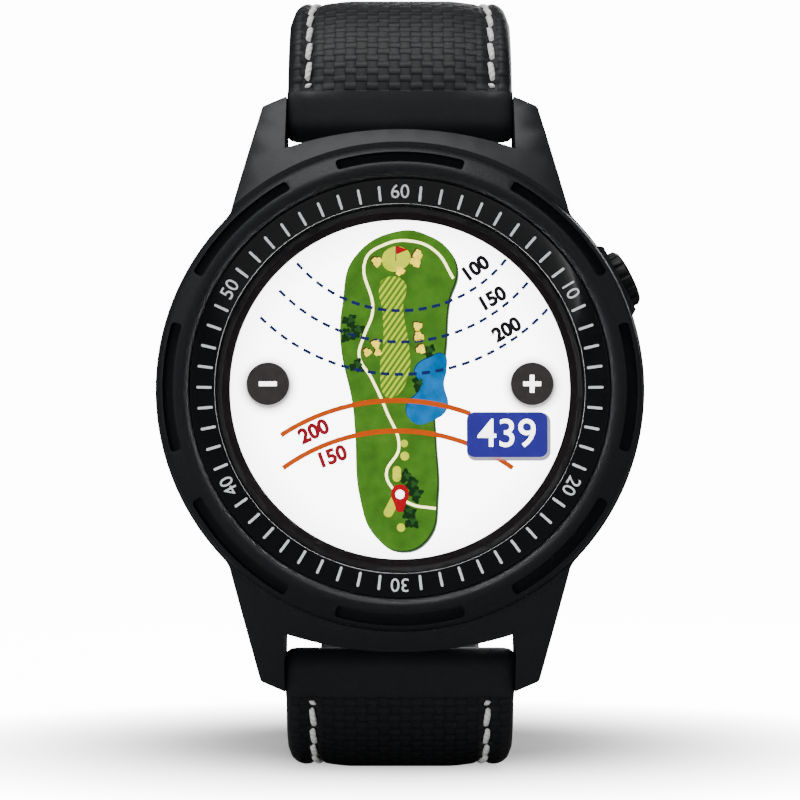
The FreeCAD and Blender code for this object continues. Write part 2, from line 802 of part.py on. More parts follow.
def punch_tail(body, path):
    """Row of adjustment holes along the tail."""
    centre_depth = f"{ROLL_FRONT} + dims.bend_radius + dims.floor_flat"
    centre_height = f"dims.tail_radius - {CENTRE_HEIGHT}"
    first = "dims.tail_turn - 11.5"
    sketch = new_sketch(body, "XY_Plane", (0, centre_depth, centre_height), (1, 0, 0), f"180 + {first}")
    circle(sketch, 0, 0, 1.15)
    hole = feature(body, "Pocket", sketch, Reversed=True, length="dims.tail_radius + 1")
    pattern = body.newObject("PartDesign::PolarPattern", body.Name + "_holes")
    pattern.Originals = [hole]
    pattern.Axis = (sketch, ["H_Axis"])
    pattern.Reversed = True
    pattern.Mode = "Spacing"
    pattern.Offset = value(size("hole_pitch"))
    pattern.Occurrences = 7
    pattern.setExpression("Offset", size("hole_pitch"))
    pattern.setExpression("Occurrences", size("hole_count"))
    body.Tip = pattern


def round_tip(body, path):
    """Round the two corners of the tail."""
    doc.recompute()
    depth, height = (value(part) for part in path.at(len(path.spots) - 1, 0))

    def at_tip(edge):
        spot = edge.CenterOfMass
        straight = isinstance(edge.Curve, Part.Line)
        near = math.hypot(spot.y - depth, spot.z - height) < 4 and abs(spot.x) > 8
        return straight and near and abs(edge.Curve.Direction.x) < 0.1 and edge.Length < 4

    round_edges(body, 7, at_tip)


def make_strap(name, path, pad_path, thread_path, is_tail):
    """Outer skin, padding, lining and stitching of one strap half."""
    side = path.side
    skin, inner = size("skin"), "dims.skin + dims.padding"
    groove = "0.45"
    shell = new_body(f"{name}_strap_outer")
    padded_band(shell, path, 0, skin, size("strap_width"))
    sketch = new_sketch(shell, "YZ_Plane")
    circle(sketch, size("bar_depth"), f"({side}) * dims.bar_offset", size("roll_radius"))
    feature(shell, "Pad", sketch, SideType="Symmetric", length=size("strap_width"))
    pad = new_body(f"{name}_strap_padding")
    padded_band(pad, pad_path, f"{skin} + 0.02", f"{inner} - 0.02", "dims.strap_width - 2.4", 1)
    lining = new_body(f"{name}_strap_lining")
    padded_band(lining, path, inner, STRAP_THICKNESS, size("strap_width"), 1)
    if is_tail:
        for layer in (shell, pad, lining):
            taper(layer)
            punch_tail(layer, path)
            round_tip(layer, pad_path if layer is pad else path)
    else:
        depth, height = path.at(len(path.spots) - 1, "2.05")
        sketch = new_sketch(shell, "YZ_Plane")
        circle(sketch, depth, height, 2.05)
        feature(shell, "Pad", sketch, SideType="Symmetric", length=size("strap_width"))
        for layer in (shell, pad, lining):
            taper(layer)
        for layer in (shell, pad, lining):
            sketch = new_sketch(layer, "YZ_Plane")
            circle(sketch, depth, height, "dims.buckle_bar_radius + 0.07" if layer is shell else 2.15)
            feature(layer, "Pocket", sketch, SideType="Symmetric", length="30")
            sketch = new_sketch(layer, "YZ_Plane")
            circle(sketch, depth, height, 4.5)
            feature(layer, "Pocket", sketch, SideType="Symmetric", length="3.4")
    for layer in (shell, pad, lining):
        sketch = new_sketch(layer, "YZ_Plane")
        clear = "dims.bar_radius + 0.05" if layer is shell else "dims.roll_radius + 0.05"
        circle(sketch, size("bar_depth"), f"({side}) * dims.bar_offset", clear)
        feature(layer, "Pocket", sketch, SideType="Symmetric", length="30")

    for wide, inward, kind, body in (
        (1.5, (-0.5, groove), "Pocket", shell),
        (0.5, (0.1, groove), "Pad", new_body(f"{name}_stitching")),
    ):
        for sign in (1, -1):
            centre = f"({sign}) * dims.stitch_side - {wide / 2}"
            sketch = new_sketch(body, "YZ_Plane", (0, 0, centre))
            outline(sketch, thread_path.band(*inward, first=1))
            feature(body, kind, sketch, length=wide, Reversed=(kind == "Pocket"))
    return shell


def make_keeper(name, low):
    """Loop round the buckle half that holds the tail."""
    body = new_body(name)
    face = f"({ROLL_FRONT} + dims.crown_radius + dims.crown_flat + dims.drop_radius)"
    front = f"({face} - {STRAP_THICKNESS} - 0.3)"
    back = f"({face} + 4.6)"
    half = "(dims.strap_end_width / 2 + 0.35)"
    wall = size("keeper_wall")
    for grow, kind in ((wall, "Pad"), (0, "Pocket")):
        sketch = new_sketch(body, "XY_Plane", (0, 0, low))
        rectangle(sketch, f"-{half} - {grow}", f"{half} + {grow}", f"{front} - {grow}", f"{back} + {grow}")
        feature(body, kind, sketch, length=size("keeper_length"), Reversed=(kind == "Pocket"))
    corners = (value(f"{half} + {wall}"), value(f"{front} - {wall}"), value(f"{back} + {wall}"))

    def outer_corner(edge):
        spot = edge.CenterOfMass
        on_side = abs(abs(spot.x) - corners[0]) < 0.01
        on_face = min(abs(spot.y - corners[1]), abs(spot.y - corners[2])) < 0.01
        return isinstance(edge.Curve, Part.Line) and on_side and on_face

    round_edges(body, 0.9, outer_corner)
    return body


def make_buckle(path):
    """Pin buckle: frame, bar and tang at the end of the upper half."""
    depth, height = path.at(len(path.spots) - 1, "2.05")
    gap, width = "dims.buckle_gap / 2", "dims.buckle_width / 2"
    far = "dims.buckle_length"
    frame = new_body("buckle_frame")
    sketch = new_sketch(frame, "XZ_Plane", (0, height, f"-({depth} - 1.4)"))
    outline(sketch, [
        (f"-{width}", 2.2),
        (f"-{width}", f"-{far} + 2"),
        (f"-{width} + 2", f"-{far}"),
        (f"{width} - 2", f"-{far}"),
        (width, f"-{far} + 2"),
        (width, 2.2),
        (gap, 2.2),
        (gap, f"-{far} + 2.4"),
        (f"-{gap}", f"-{far} + 2.4"),
        (f"-{gap}", 2.2),
    ])
    feature(frame, "Pad", sketch, Reversed=True, length="2.8")
    sketch = new_sketch(frame, "YZ_Plane")
    circle(sketch, depth, height, "dims.buckle_bar_radius + 0.03")
    feature(frame, "Pocket", sketch, SideType="Symmetric", length="30")

    bar = new_body("buckle_bar")
    sketch = new_sketch(bar, "YZ_Plane")
    circle(sketch, depth, height, size("buckle_bar_radius"))
    feature(bar, "Pad", sketch, SideType="Symmetric", length="dims.buckle_width - 0.2")

    tang = new_body("buckle_tang")
    sketch = new_sketch(tang, "YZ_Plane")
    circle(sketch, depth, height, 2.2)
    feature(tang, "Pad", sketch, SideType="Symmetric", length="2.6")
    sketch = new_sketch(tang, "YZ_Plane")
    rectangle(sketch, f"{depth} + 1.6", f"{depth} + 2.9", f"{height} - {far} - 0.6", height)
    feature(tang, "Pad", sketch, SideType="Symmetric", length="2")
    sketch = new_sketch(tang, "YZ_Plane")
    circle(sketch, depth, height, "dims.buckle_bar_radius + 0.07")
    feature(tang, "Pocket", sketch, SideType="Symmetric", length="30")


# ---------------------------------------------------------------- assembly

make_mid_case()
make_bezel()
make_front_stack()
make_electronics()
make_back()
make_button()
make_spring_bar("upper", 1)
make_spring_bar("lower", -1)
upper_path = buckle_half("dims.drop_length")
upper_thread = buckle_half("(dims.drop_length - 5)")
make_strap("upper", upper_path, upper_path, upper_thread, False)
make_strap("lower", tail_half(0), tail_half(3), tail_half(9), True)
make_buckle(upper_path)
bar_height = upper_path.spots[-1][1]
make_keeper("fixed_keeper", f"{bar_height} + 5")
make_keeper("free_keeper", f"{bar_height} + 16")

doc.recompute()
os.makedirs("parts", exist_ok=True)
for thing in doc.Objects:
    if "Invalid" in thing.State or "Error" in thing.State:
        raise RuntimeError(f"{thing.Name} did not build: {thing.State}")
for piece in doc.Objects:
    if piece.TypeId != "PartDesign::Body":
        continue
    if piece.Shape.isNull() or not piece.Shape.isValid():
        raise RuntimeError(f"{piece.Label} has no valid shape")
    piece.Shape.exportStep(f"parts/{piece.Label}.step")
    box = piece.Shape.BoundBox
    print(f"{piece.Label:24s} solids {len(piece.Shape.Solids)} volume {piece.Shape.Volume:9.2f} "
          f"x {box.XMin:.2f} {box.XMax:.2f} y {box.YMin:.2f} {box.YMax:.2f} z {box.ZMin:.2f} {box.ZMax:.2f}")
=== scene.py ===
"""Golf GPS watch: finishes, soft straps, lit screen and studio."""

import logging
import math
from dataclasses import dataclass, field
from enum import Enum
from typing import Callable, Optional, Sequence, Union

import bmesh
import bpy
from mathutils import Matrix, Vector


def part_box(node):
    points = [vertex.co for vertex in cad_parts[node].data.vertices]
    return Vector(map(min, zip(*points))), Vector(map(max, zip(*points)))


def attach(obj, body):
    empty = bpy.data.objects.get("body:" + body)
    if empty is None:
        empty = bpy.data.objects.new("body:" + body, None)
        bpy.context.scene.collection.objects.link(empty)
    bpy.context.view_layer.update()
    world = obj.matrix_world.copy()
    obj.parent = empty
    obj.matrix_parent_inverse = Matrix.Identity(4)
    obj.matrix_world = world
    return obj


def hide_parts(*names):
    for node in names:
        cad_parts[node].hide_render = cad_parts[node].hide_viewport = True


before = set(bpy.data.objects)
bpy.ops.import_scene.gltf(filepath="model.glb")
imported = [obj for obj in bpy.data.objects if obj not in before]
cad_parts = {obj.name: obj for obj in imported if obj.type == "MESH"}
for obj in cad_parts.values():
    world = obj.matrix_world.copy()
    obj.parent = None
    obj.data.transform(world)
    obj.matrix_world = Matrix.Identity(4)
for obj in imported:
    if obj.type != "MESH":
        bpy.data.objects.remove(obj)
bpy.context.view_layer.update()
LOG = logging.getLogger("watch")
MM = 0.001

Colour = tuple[float, float, float]
Point = tuple[float, float]


# ---------------------------------------------------------------- shader tools


class Wire:
    """A node socket that Python operators join to Math nodes."""

    def __init__(self, graph: "Graph", socket: bpy.types.NodeSocket) -> None:
        """Keep the graph and the output socket."""
        self.graph = graph
        self.socket = socket

    def _math(self, kind: str, *others: Union["Wire", float]) -> "Wire":
        """One Math node on this socket and others.

        Args:
            kind: Operation of the node.
            *others: Further inputs.

        Returns:
            The result.
        """
        inputs = {index: item for index, item in enumerate((self, *others))}
        return self.graph.add("ShaderNodeMath", inputs, operation=kind)

    def _swapped(self, kind: str, other: Union["Wire", float]) -> "Wire":
        """One Math node whose first input is a number.

        Args:
            kind: Operation of the node.
            other: Number that comes first.

        Returns:
            The result.
        """
        return self.graph.add("ShaderNodeMath", {0: other, 1: self}, operation=kind)

    def __add__(self, other: Union["Wire", float]) -> "Wire":
        """Sum."""
        return self._math("ADD", other)

    __radd__ = __add__

    def __sub__(self, other: Union["Wire", float]) -> "Wire":
        """Difference."""
        return self._math("SUBTRACT", other)

    def __rsub__(self, other: float) -> "Wire":
        """Difference from a number."""
        return self._swapped("SUBTRACT", other)

    def __mul__(self, other: Union["Wire", float]) -> "Wire":
        """Product."""
        return self._math("MULTIPLY", other)

    __rmul__ = __mul__

    def __truediv__(self, other: Union["Wire", float]) -> "Wire":
        """Quotient."""
        return self._math("DIVIDE", other)

    def at_least(self, low: float) -> "Wire":
        """Larger of the value and a floor.

        Args:
            low: The floor.

        Returns:
            The result.
        """
        return self._math("MAXIMUM", low)

    def at_most(self, high: float) -> "Wire":
        """Smaller of the value and a ceiling.

        Args:
            high: The ceiling.

        Returns:
            The result.
        """
        return self._math("MINIMUM", high)

    def above(self, limit: float) -> "Wire":
        """One where the value is over a limit, else zero.

        Args:
            limit: The limit.

        Returns:
            The result.
        """
        return self._math("GREATER_THAN", limit)

    def apply(self, kind: str, *others: Union["Wire", float]) -> "Wire":
        """Any other Math node, such as FRACT or SINE.

        Args:
            kind: Operation of the node.
            *others: Further inputs.

        Returns:
            The result.
        """
        return self._math(kind, *others)


class Graph:
    """Node tree of one material."""

    def __init__(self, name: str) -> None:
        """Start an empty material with an output node."""
        self.material = bpy.data.materials.new(name)
        self.material.use_nodes = True
        self.tree = self.material.node_tree
        self.tree.nodes.clear()
        self.output = self.tree.nodes.new("ShaderNodeOutputMaterial")

    def add(self, kind: str, inputs: Optional[dict] = None, output: Union[int, str] = 0,
            **settings: object) -> Wire:
        """Add one node.

        Args:
            kind: Node type.
            inputs: Values or wires by socket name or number.
            output: Socket of the node that the result stands for.
            **settings: Node settings.

        Returns:
            The chosen output as a wire.
        """
        node = self.tree.nodes.new(kind)
        for name, setting in settings.items():
            setattr(node, name, setting)
        for name, item in (inputs or {}).items():
            self.join(node.inputs[name], item)
        return Wire(self, node.outputs[output])

    def join(self, socket: bpy.types.NodeSocket, item: object) -> None:
        """Set a socket's value or link a wire to it.

        Args:
            socket: Input socket.
            item: Wire, number or tuple.
        """
        if isinstance(item, Wire):
            self.tree.links.new(item.socket, socket)
        elif isinstance(item, tuple) and len(item) == 3 and socket.type == "RGBA":
            socket.default_value = (*item, 1.0)
        else:
            socket.default_value = item

    def place(self, scale: float = 1.0) -> Wire:
        """Object coordinates scaled, so that 1000 gives millimetres."""
        spot = self.add("ShaderNodeTexCoord", output="Object")
        return self.add("ShaderNodeMapping", {"Vector": spot, "Scale": (scale,) * 3})

    def cloth(self, layer: str = "UVMap") -> tuple[Wire, Wire]:
        """The piece's own flat coordinates in millimetres, across and along.

        Args:
            layer: Name of the flat coordinates.

        Returns:
            Across and along.
        """
        spot = self.add("ShaderNodeUVMap", uv_map=layer)
        split = self.add("ShaderNodeSeparateXYZ", {"Vector": spot})
        return split, Wire(self, split.socket.node.outputs["Y"])

    def noise(self, scale: float, detail: float = 3.0, place: Optional[Wire] = None) -> Wire:
        """Noise with features of about 1/scale metres.

        Args:
            scale: Features to the metre.
            detail: Number of octaves.
            place: Coordinates, if not the object's own.

        Returns:
            Noise between 0 and 1.
        """
        where = place or self.place()
        return self.add("ShaderNodeTexNoise", {"Vector": where, "Scale": scale, "Detail": detail})

    def blend(self, factor: Union[Wire, float], low: object, high: object) -> Wire:
        """Mix of two colours.

        Args:
            factor: Share of the second colour.
            low: First colour.
            high: Second colour.

        Returns:
            The mixed colour.
        """
        node = self.tree.nodes.new("ShaderNodeMix")
        node.data_type = "RGBA"
        for socket, item in ((node.inputs[0], factor), (node.inputs[6], low), (node.inputs[7], high)):
            self.join(socket, item)
        return Wire(self, node.outputs[2])

    def bump(self, height: Wire, depth: float, strength: float = 1.0) -> Wire:
        """Bump of a height between 0 and 1 that stands for a depth in metres.

        Args:
            height: Height between 0 and 1.
            depth: Depth that a height of 1 stands for, in metres.
            strength: Strength of the bump.

        Returns:
            The bent normal.
        """
        settings = {"Height": height, "Distance": depth, "Strength": strength}
        return self.add("ShaderNodeBump", settings, output="Normal")

    def finish(self, **sockets: object) -> bpy.types.Material:
        """Close the graph with a Principled shader; underscores stand for spaces.

        Args:
            **sockets: Values or wires by socket name.

        Returns:
            The material.
        """
        node = self.tree.nodes.new("ShaderNodeBsdfPrincipled")
        for name, item in sockets.items():
            self.join(node.inputs[name.replace("_", " ")], item)
        self.tree.links.new(node.outputs[0], self.output.inputs["Surface"])
        return self.material


# ---------------------------------------------------------------- finishes


@dataclass(frozen=True)
class Moulded:
    """Moulded plastic with a fine spark-eroded grain."""

    name: str
    colour: Colour = (0.012, 0.013, 0.015)
    grain: float = 0.25
    depth: float = 0.02
    roughness: float = 0.42
    spread: float = 0.1

    def make(self) -> bpy.types.Material:
        """Build the material.

        Returns:
            The material.
        """
        graph = Graph(self.name)
        grain = graph.noise(1000.0 / self.grain, 4.0)
        mottle = graph.noise(420.0, 5.0)
        light = tuple(channel * 1.7 for channel in self.colour)
        shade = graph.blend(mottle * 0.3 + grain * 0.7, self.colour, light)
        rough = (self.roughness - self.spread) + (mottle * 0.15 + grain * 0.85) * (2 * self.spread)
        return graph.finish(
            Base_Color=shade,
            Roughness=rough,
            Normal=graph.bump(grain, self.depth * MM, 0.9),
            Specular_IOR_Level=0.32,
        )


@dataclass(frozen=True)
class Gloss:
    """Polished black plastic with faint handling marks."""

    name: str
    colour: Colour = (0.003, 0.003, 0.004)
    roughness: float = 0.07

    def make(self) -> bpy.types.Material:
        """Build the material.

        Returns:
            The material.
        """
        graph = Graph(self.name)
        haze = graph.noise(240.0, 5.0)
        streak = graph.noise(1400.0, 2.0)
        light = tuple(channel * 1.5 for channel in self.colour)
        return graph.finish(
            Base_Color=graph.blend(haze, self.colour, light),
            Roughness=(self.roughness - 0.03) + haze * 0.07,
            Normal=graph.bump(streak, 0.002 * MM, 0.3),
            Coat_Weight=0.3,
            Coat_Roughness=0.05,
        )


@dataclass(frozen=True)
class ClearFilm:
    """Clear pane that shows only its gloss."""

    name: str
    alpha: float = 0.05

    def make(self) -> bpy.types.Material:
        """Build the material.

        Returns:
            The material.
        """
        graph = Graph(self.name)
        smear = graph.noise(120.0, 3.0)
        material = graph.finish(
            Base_Color=(0.02, 0.02, 0.025),
            Roughness=0.02 + smear * 0.05,
            Alpha=(self.alpha - 0.01) + smear * 0.02,
            IOR=1.5,
        )
        material.surface_render_method = "BLENDED"
        return material


@dataclass(frozen=True)
class Metal:
    """Turned or brushed metal."""

    name: str
    colour: Colour = (0.62, 0.62, 0.63)
    roughness: float = 0.28
    brush: tuple[float, float, float] = (300.0, 6000.0, 6000.0)

    def make(self) -> bpy.types.Material:
        """Build the material.

        Returns:
            The material.
        """
        graph = Graph(self.name)
        spot = graph.add("ShaderNodeTexCoord", output="Object")
        where = graph.add("ShaderNodeMapping", {"Vector": spot, "Scale": self.brush})
        lines = graph.noise(1.0, 4.0, where)
        stain = graph.noise(220.0, 4.0)
        dark = tuple(channel * 0.72 for channel in self.colour)
        return graph.finish(
            Base_Color=graph.blend(stain * 0.5 + lines * 0.5, dark, self.colour),
            Metallic=1.0,
            Roughness=(self.roughness - 0.08) + lines * 0.12 + stain * 0.06,
            Normal=graph.bump(lines, 0.004 * MM, 0.5),
        )


@dataclass(frozen=True)
class WovenLeather:
    """Black leather embossed with a basket weave between smooth bands, with painted shade in the weave's
    hollows.
    """

    name: str
    across: float = 1.075
    along: float = 0.78
    weave_from: float = 3.0
    weave_half_width: float = 10.6
    colour: Colour = (0.006, 0.0065, 0.0075)

    def make(self) -> bpy.types.Material:
        """Build the material.

        Returns:
            The material.
        """
        graph = Graph(self.name)
        x, s = graph.cloth()
        wobble = graph.noise(700.0, 3.0) - 0.5
        column = (x + wobble * 0.3) / self.across + 200.0
        row = (s + wobble * 0.26) / self.along + 200.0
        parity = (column.apply("FLOOR") + row.apply("FLOOR")).apply("MODULO", 2.0)
        over = parity.above(0.5)
        u = column.apply("FRACT")
        v = row.apply("FRACT")
        flat_strand = (v * math.pi).apply("SINE").apply("POWER", 0.42)
        upright = (u * math.pi).apply("SINE").apply("POWER", 0.35) * 0.86
        weave = over * flat_strand + (1.0 - over) * upright
        inside = s.above(self.weave_from) * (1.0 - x.apply("ABSOLUTE").above(self.weave_half_width))
        pores = graph.noise(6500.0, 3.0)
        creases = graph.noise(900.0, 6.0)
        height = inside * weave * 0.8 + (1.0 - inside) * (0.62 + creases * 0.2) + pores * 0.12
        # Painted shade: where the weave sinks, the colour falls to a quarter of the leather's; crest
        # also sets the roughness.
        crest = (inside * weave + (1.0 - inside)).at_most(1.0)
        dark = tuple(channel * 0.25 for channel in self.colour)
        light = tuple(channel * 1.9 for channel in self.colour)
        tone = graph.blend(graph.noise(90.0, 4.0), self.colour, light)
        return graph.finish(
            Base_Color=graph.blend(crest, dark, tone),
            Roughness=0.62 - crest * 0.14 + pores * 0.12,
            Normal=graph.bump(height, 0.13 * MM, 1.0),
            Specular_IOR_Level=0.35,
        )


@dataclass(frozen=True)
class SoftBlack:
    """Smooth lining leather or rubber with pores and creases."""

    name: str
    colour: Colour = (0.013, 0.013, 0.014)
    roughness: float = 0.55
    depth: float = 0.05

    def make(self) -> bpy.types.Material:
        """Build the material.

        Returns:
            The material.
        """
        graph = Graph(self.name)
        pores = graph.noise(5200.0, 4.0)
        creases = graph.noise(700.0, 6.0)
        light = tuple(channel * 1.8 for channel in self.colour)
        return graph.finish(
            Base_Color=graph.blend(creases, self.colour, light),
            Roughness=(self.roughness - 0.08) + creases * 0.16,
            Normal=graph.bump(creases * 0.6 + pores * 0.4, self.depth * MM, 0.8),
        )


@dataclass(frozen=True)
class Thread:
    """Twisted white sewing thread with painted shade between its plies."""

    name: str
    colour: Colour = (0.93, 0.93, 0.9)

    def make(self) -> bpy.types.Material:
        """Build the material; the flat coordinates run along and round each stitch.

        Returns:
            The material.
        """
        graph = Graph(self.name)
        round_way, along = graph.cloth()
        ply_and_groove_shade = ((along * 3.4 + round_way * 1.6) * math.pi).apply("SINE") * 0.5 + 0.5
        fluff = graph.noise(9000.0, 3.0)
        # Painted shade: the thread darkens in the grooves between its plies, mixed with random fluff.
        dark = tuple(channel * 0.62 for channel in self.colour)
        return graph.finish(
            Base_Color=graph.blend(ply_and_groove_shade * 0.7 + fluff * 0.3, dark, self.colour),
            Roughness=0.7 + fluff * 0.2,
            Normal=graph.bump(ply_and_groove_shade * 0.8 + fluff * 0.2, 0.07 * MM, 1.0),
            Sheen_Weight=0.3,
        )


@dataclass(frozen=True)
class Board:
    """Green solder mask with faint copper tracks."""

    name: str

    def make(self) -> bpy.types.Material:
        """Build the material.

        Returns:
            The material.
        """
        graph = Graph(self.name)
        where = graph.place(900.0)
        cells = graph.add("ShaderNodeTexVoronoi", {"Vector": where, "Scale": 1.0},
                          feature="DISTANCE_TO_EDGE")
        tracks = 1.0 - cells.above(0.06)
        shade = graph.blend(tracks, (0.008, 0.075, 0.03), (0.02, 0.14, 0.05))
        return graph.finish(Base_Color=shade, Roughness=0.3 + graph.noise(800.0) * 0.15,
                            Normal=graph.bump(tracks, 0.01 * MM, 0.6))


@dataclass(frozen=True)
class Lit:
    """Patch of lit screen whose colour varies a little."""

    name: str
    low: Colour
    high: Colour
    grain: float = 1200.0
    glow: float = 1.0
    stripes: float = 0.0
    turn: float = 0.0
    paint: float = 0.05

    def make(self) -> bpy.types.Material:
        """Build the material.

        Returns:
            The material.
        """
        graph = Graph(self.name)
        if self.stripes:
            spot = graph.add("ShaderNodeTexCoord", output="Object")
            turned = graph.add("ShaderNodeMapping", {"Vector": spot, "Rotation": (0, self.turn, 0),
                                                     "Scale": (1000.0 / self.stripes,) * 3})
            split = graph.add("ShaderNodeSeparateXYZ", {"Vector": turned})
            side = Wire(graph, split.socket.node.outputs["Z"])
            mask = (side.apply("FRACT")).above(0.5) * 0.85 + graph.noise(1500.0) * 0.15
        else:
            rough = graph.noise(self.grain, 6.0)
            mask = ((rough - 0.5) * 1.8 + 0.5).at_least(0.0).at_most(1.0)
        shade = graph.blend(mask, self.low, self.high)
        return graph.finish(
            Base_Color=graph.blend(self.paint, (0.0, 0.0, 0.0), shade),
            Roughness=0.5,
            Emission_Color=shade,
            Emission_Strength=self.glow,
            Specular_IOR_Level=0.1,
        )


class Finish(Enum):
    """Every finish of the watch, by the name of its material."""

    CASE = Moulded("case_black", (0.0075, 0.0083, 0.0095), 0.22, 0.012, 0.46)
    BEZEL = Moulded("bezel_black", (0.0058, 0.0066, 0.008), 0.3, 0.03, 0.5)
    # The cap's black is about half the case's: painted shade on the cap at the watch's side.
    BUTTON = Moulded("button_black", (0.003, 0.0032, 0.0037), 0.3, 0.012, 0.55)
    RING = Gloss("ring_gloss", (0.0035, 0.0038, 0.0045))
    GLASS = ClearFilm("cover_glass_clear")
    FILM = ClearFilm("sensor_clear", 0.02)
    DARK = Moulded("inner_black", (0.02, 0.02, 0.021), 0.2, 0.01, 0.5)
    STEEL = Metal("bright_steel")
    BLACK_STEEL = Metal("black_steel", (0.075, 0.077, 0.082), 0.3, (400.0, 5000.0, 400.0))
    GOLD = Metal("contact_gold", (0.85, 0.6, 0.22), 0.22)
    FOIL = Metal("battery_foil", (0.7, 0.7, 0.72), 0.35, (900.0, 900.0, 900.0))
    COPPER_FILM = Gloss("amber_film", (0.28, 0.11, 0.02), 0.25)
    GREEN_BOARD = Board("green_board")
    SEAL = SoftBlack("seal_rubber", (0.014, 0.014, 0.014), 0.6, 0.02)
    STRAP = WovenLeather("strap_weave")
    KEEPER = WovenLeather("keeper_leather", weave_from=900.0)
    LINING = SoftBlack("strap_lining_black")
    THREAD = Thread("white_thread")
    # The ticks and figures are print, given a faint glow of 0.34: painted light standing in for the
    # lamps' light on them.
    TICK = Lit("tick_white", (0.5, 0.54, 0.55), (0.66, 0.7, 0.7), 3000.0, 0.34, paint=1.0)

    def material(self) -> bpy.types.Material:
        """The material, made the first time it is asked for.

        Returns:
            The material.
        """
        found = bpy.data.materials.get(self.value.name)
        return found or self.value.make()


# ---------------------------------------------------------------- mesh tools


def new_piece(name: str, mesh: Union[bmesh.types.BMesh, bpy.types.Mesh], finish: bpy.types.Material,
              body: str, smooth: bool = True) -> bpy.types.Object:
    """Make a finished piece that rides on a body.

    Args:
        name: Name of the piece.
        mesh: Its shape, in metres in the row frame.
        finish: Its material.
        body: CAD body it rides on.
        smooth: Whether its faces are shaded smooth.

    Returns:
        The new object.
    """
    if isinstance(mesh, bmesh.types.BMesh):
        data = bpy.data.meshes.new(name)
        mesh.to_mesh(data)
        mesh.free()
    else:
        data = mesh
    data.materials.clear()
    data.materials.append(finish)
    for face in data.polygons:
        face.use_smooth = smooth
    piece = bpy.data.objects.new(name, data)
    bpy.context.collection.objects.link(piece)
    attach(piece, body)
    LOG.info("%s: %d faces", name, len(data.polygons))
    return piece


def soften(piece: bpy.types.Object, width: float) -> None:
    """Round a piece's edges and shade the rest by its own faces.

    Args:
        piece: CAD part to soften.
        width: Width of the rounding in millimetres.
    """
    weld = piece.modifiers.new("weld", "WELD")
    weld.merge_threshold = 0.000002
    bevel = piece.modifiers.new("bevel", "BEVEL")
    bevel.width = width * MM
    bevel.segments = 2
    bevel.limit_method = "ANGLE"
    bevel.angle_limit = math.radians(35.0)
    bevel.harden_normals = True
    bevel.use_clamp_overlap = True


@dataclass(frozen=True)
class Place:
    """Where the dial's own frame stands: x right, depth behind the bezel, z up."""

    rest_depth: float
    height: float

    def at(self, x: float, depth: float, z: float) -> Vector:
        """Point of the row frame in metres from millimetres on the dial.

        Args:
            x: Millimetres to the right.
            depth: Millimetres behind the bezel's front.
            z: Millimetres above the dial's centre.

        Returns:
            The point in metres.
        """
        return Vector((x * MM, (depth - self.rest_depth) * MM, (z + self.height) * MM))


CASE_SETBACK = 2.6


def find_place() -> Place:
    """Read the dial's place from the boxes of the case and the back cover.

    Returns:
        The dial's place.
    """
    low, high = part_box("back_cover")
    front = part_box("mid_case")[0][1] / MM - CASE_SETBACK
    return Place(-front, (low[2] + high[2]) / 2 / MM)


PLACE = find_place()


def spun(profile: Sequence[Point], steps: int = 256) -> bmesh.types.BMesh:
    """Spin a profile of (radius, depth) about the dial's axis.

    Args:
        profile: Corners in millimetres, front first.
        steps: Faces round the ring.

    Returns:
        The ring as a bmesh.
    """
    mesh = bmesh.new()
    verts = [mesh.verts.new(PLACE.at(radius, depth, 0.0)) for radius, depth in profile]
    edges = [mesh.edges.new(pair) for pair in zip(verts, verts[1:] + verts[:1])]
    centre = PLACE.at(0.0, 0.0, 0.0)
    bmesh.ops.spin(mesh, geom=verts + edges, cent=centre, axis=(0, 1, 0), angle=2 * math.pi,
                   steps=steps, use_merge=True)
    bmesh.ops.remove_doubles(mesh, verts=mesh.verts, dist=1e-7)
    bmesh.ops.recalc_face_normals(mesh, faces=mesh.faces)
    return mesh


def arc_points(centre: Point, radius: float, start: float, end: float, count: int) -> list[Point]:
    """Points on an arc of a profile, angles in degrees.

    Args:
        centre: Centre of the arc.
        radius: Its radius.
        start: First angle.
        end: Last angle.
        count: Number of steps.

    Returns:
        The points in order.
    """
    spots = []
    for step in range(count + 1):
        angle = math.radians(start + (end - start) * step / count)
        spots.append((centre[0] + radius * math.cos(angle), centre[1] + radius * math.sin(angle)))
    return spots


def dial_angle(vert: bmesh.types.BMVert) -> float:
    """Clockwise angle of a vertex from twelve o'clock, in degrees.

    Args:
        vert: Vertex on the dial.

    Returns:
        The angle.
    """
    spot = vert.co - PLACE.at(0.0, 0.0, 0.0)
    return math.degrees(math.atan2(spot.x, spot.z)) % 360.0


def flat_mesh(curve: bpy.types.Object) -> bpy.types.Mesh:
    """Mesh of a flat curve or text, which is then removed.

    Args:
        curve: Curve or text object.

    Returns:
        Its mesh.
    """
    bpy.context.view_layer.update()
    evaluated = curve.evaluated_get(bpy.context.evaluated_depsgraph_get())
    mesh = bpy.data.meshes.new_from_object(evaluated)
    data = curve.data
    bpy.data.objects.remove(curve)
    bpy.data.curves.remove(data)
    return mesh


def stand_up(mesh: bpy.types.Mesh, x: float, z: float, depth: float, turn: float = 0.0,
             tilt: float = 0.0) -> bpy.types.Mesh:
    """Turn a flat mesh in millimetres to face the wearer at a spot of the dial.

    Args:
        mesh: Flat mesh, x right and y up.
        x: Place to the right of the dial's centre.
        z: Place above the dial's centre.
        depth: Depth behind the bezel's front.
        turn: Clockwise turn on the face, in degrees.
        tilt: Lean of the top away from the wearer, in degrees.

    Returns:
        The same mesh.
    """
    facing = Matrix.Rotation(math.radians(90.0 - tilt), 4, "X")
    on_face = Matrix.Rotation(math.radians(turn), 4, "Y")
    move = Matrix.Translation(PLACE.at(x, depth, z))
    mesh.transform(move @ on_face @ facing @ Matrix.Scale(MM, 4))
    return mesh


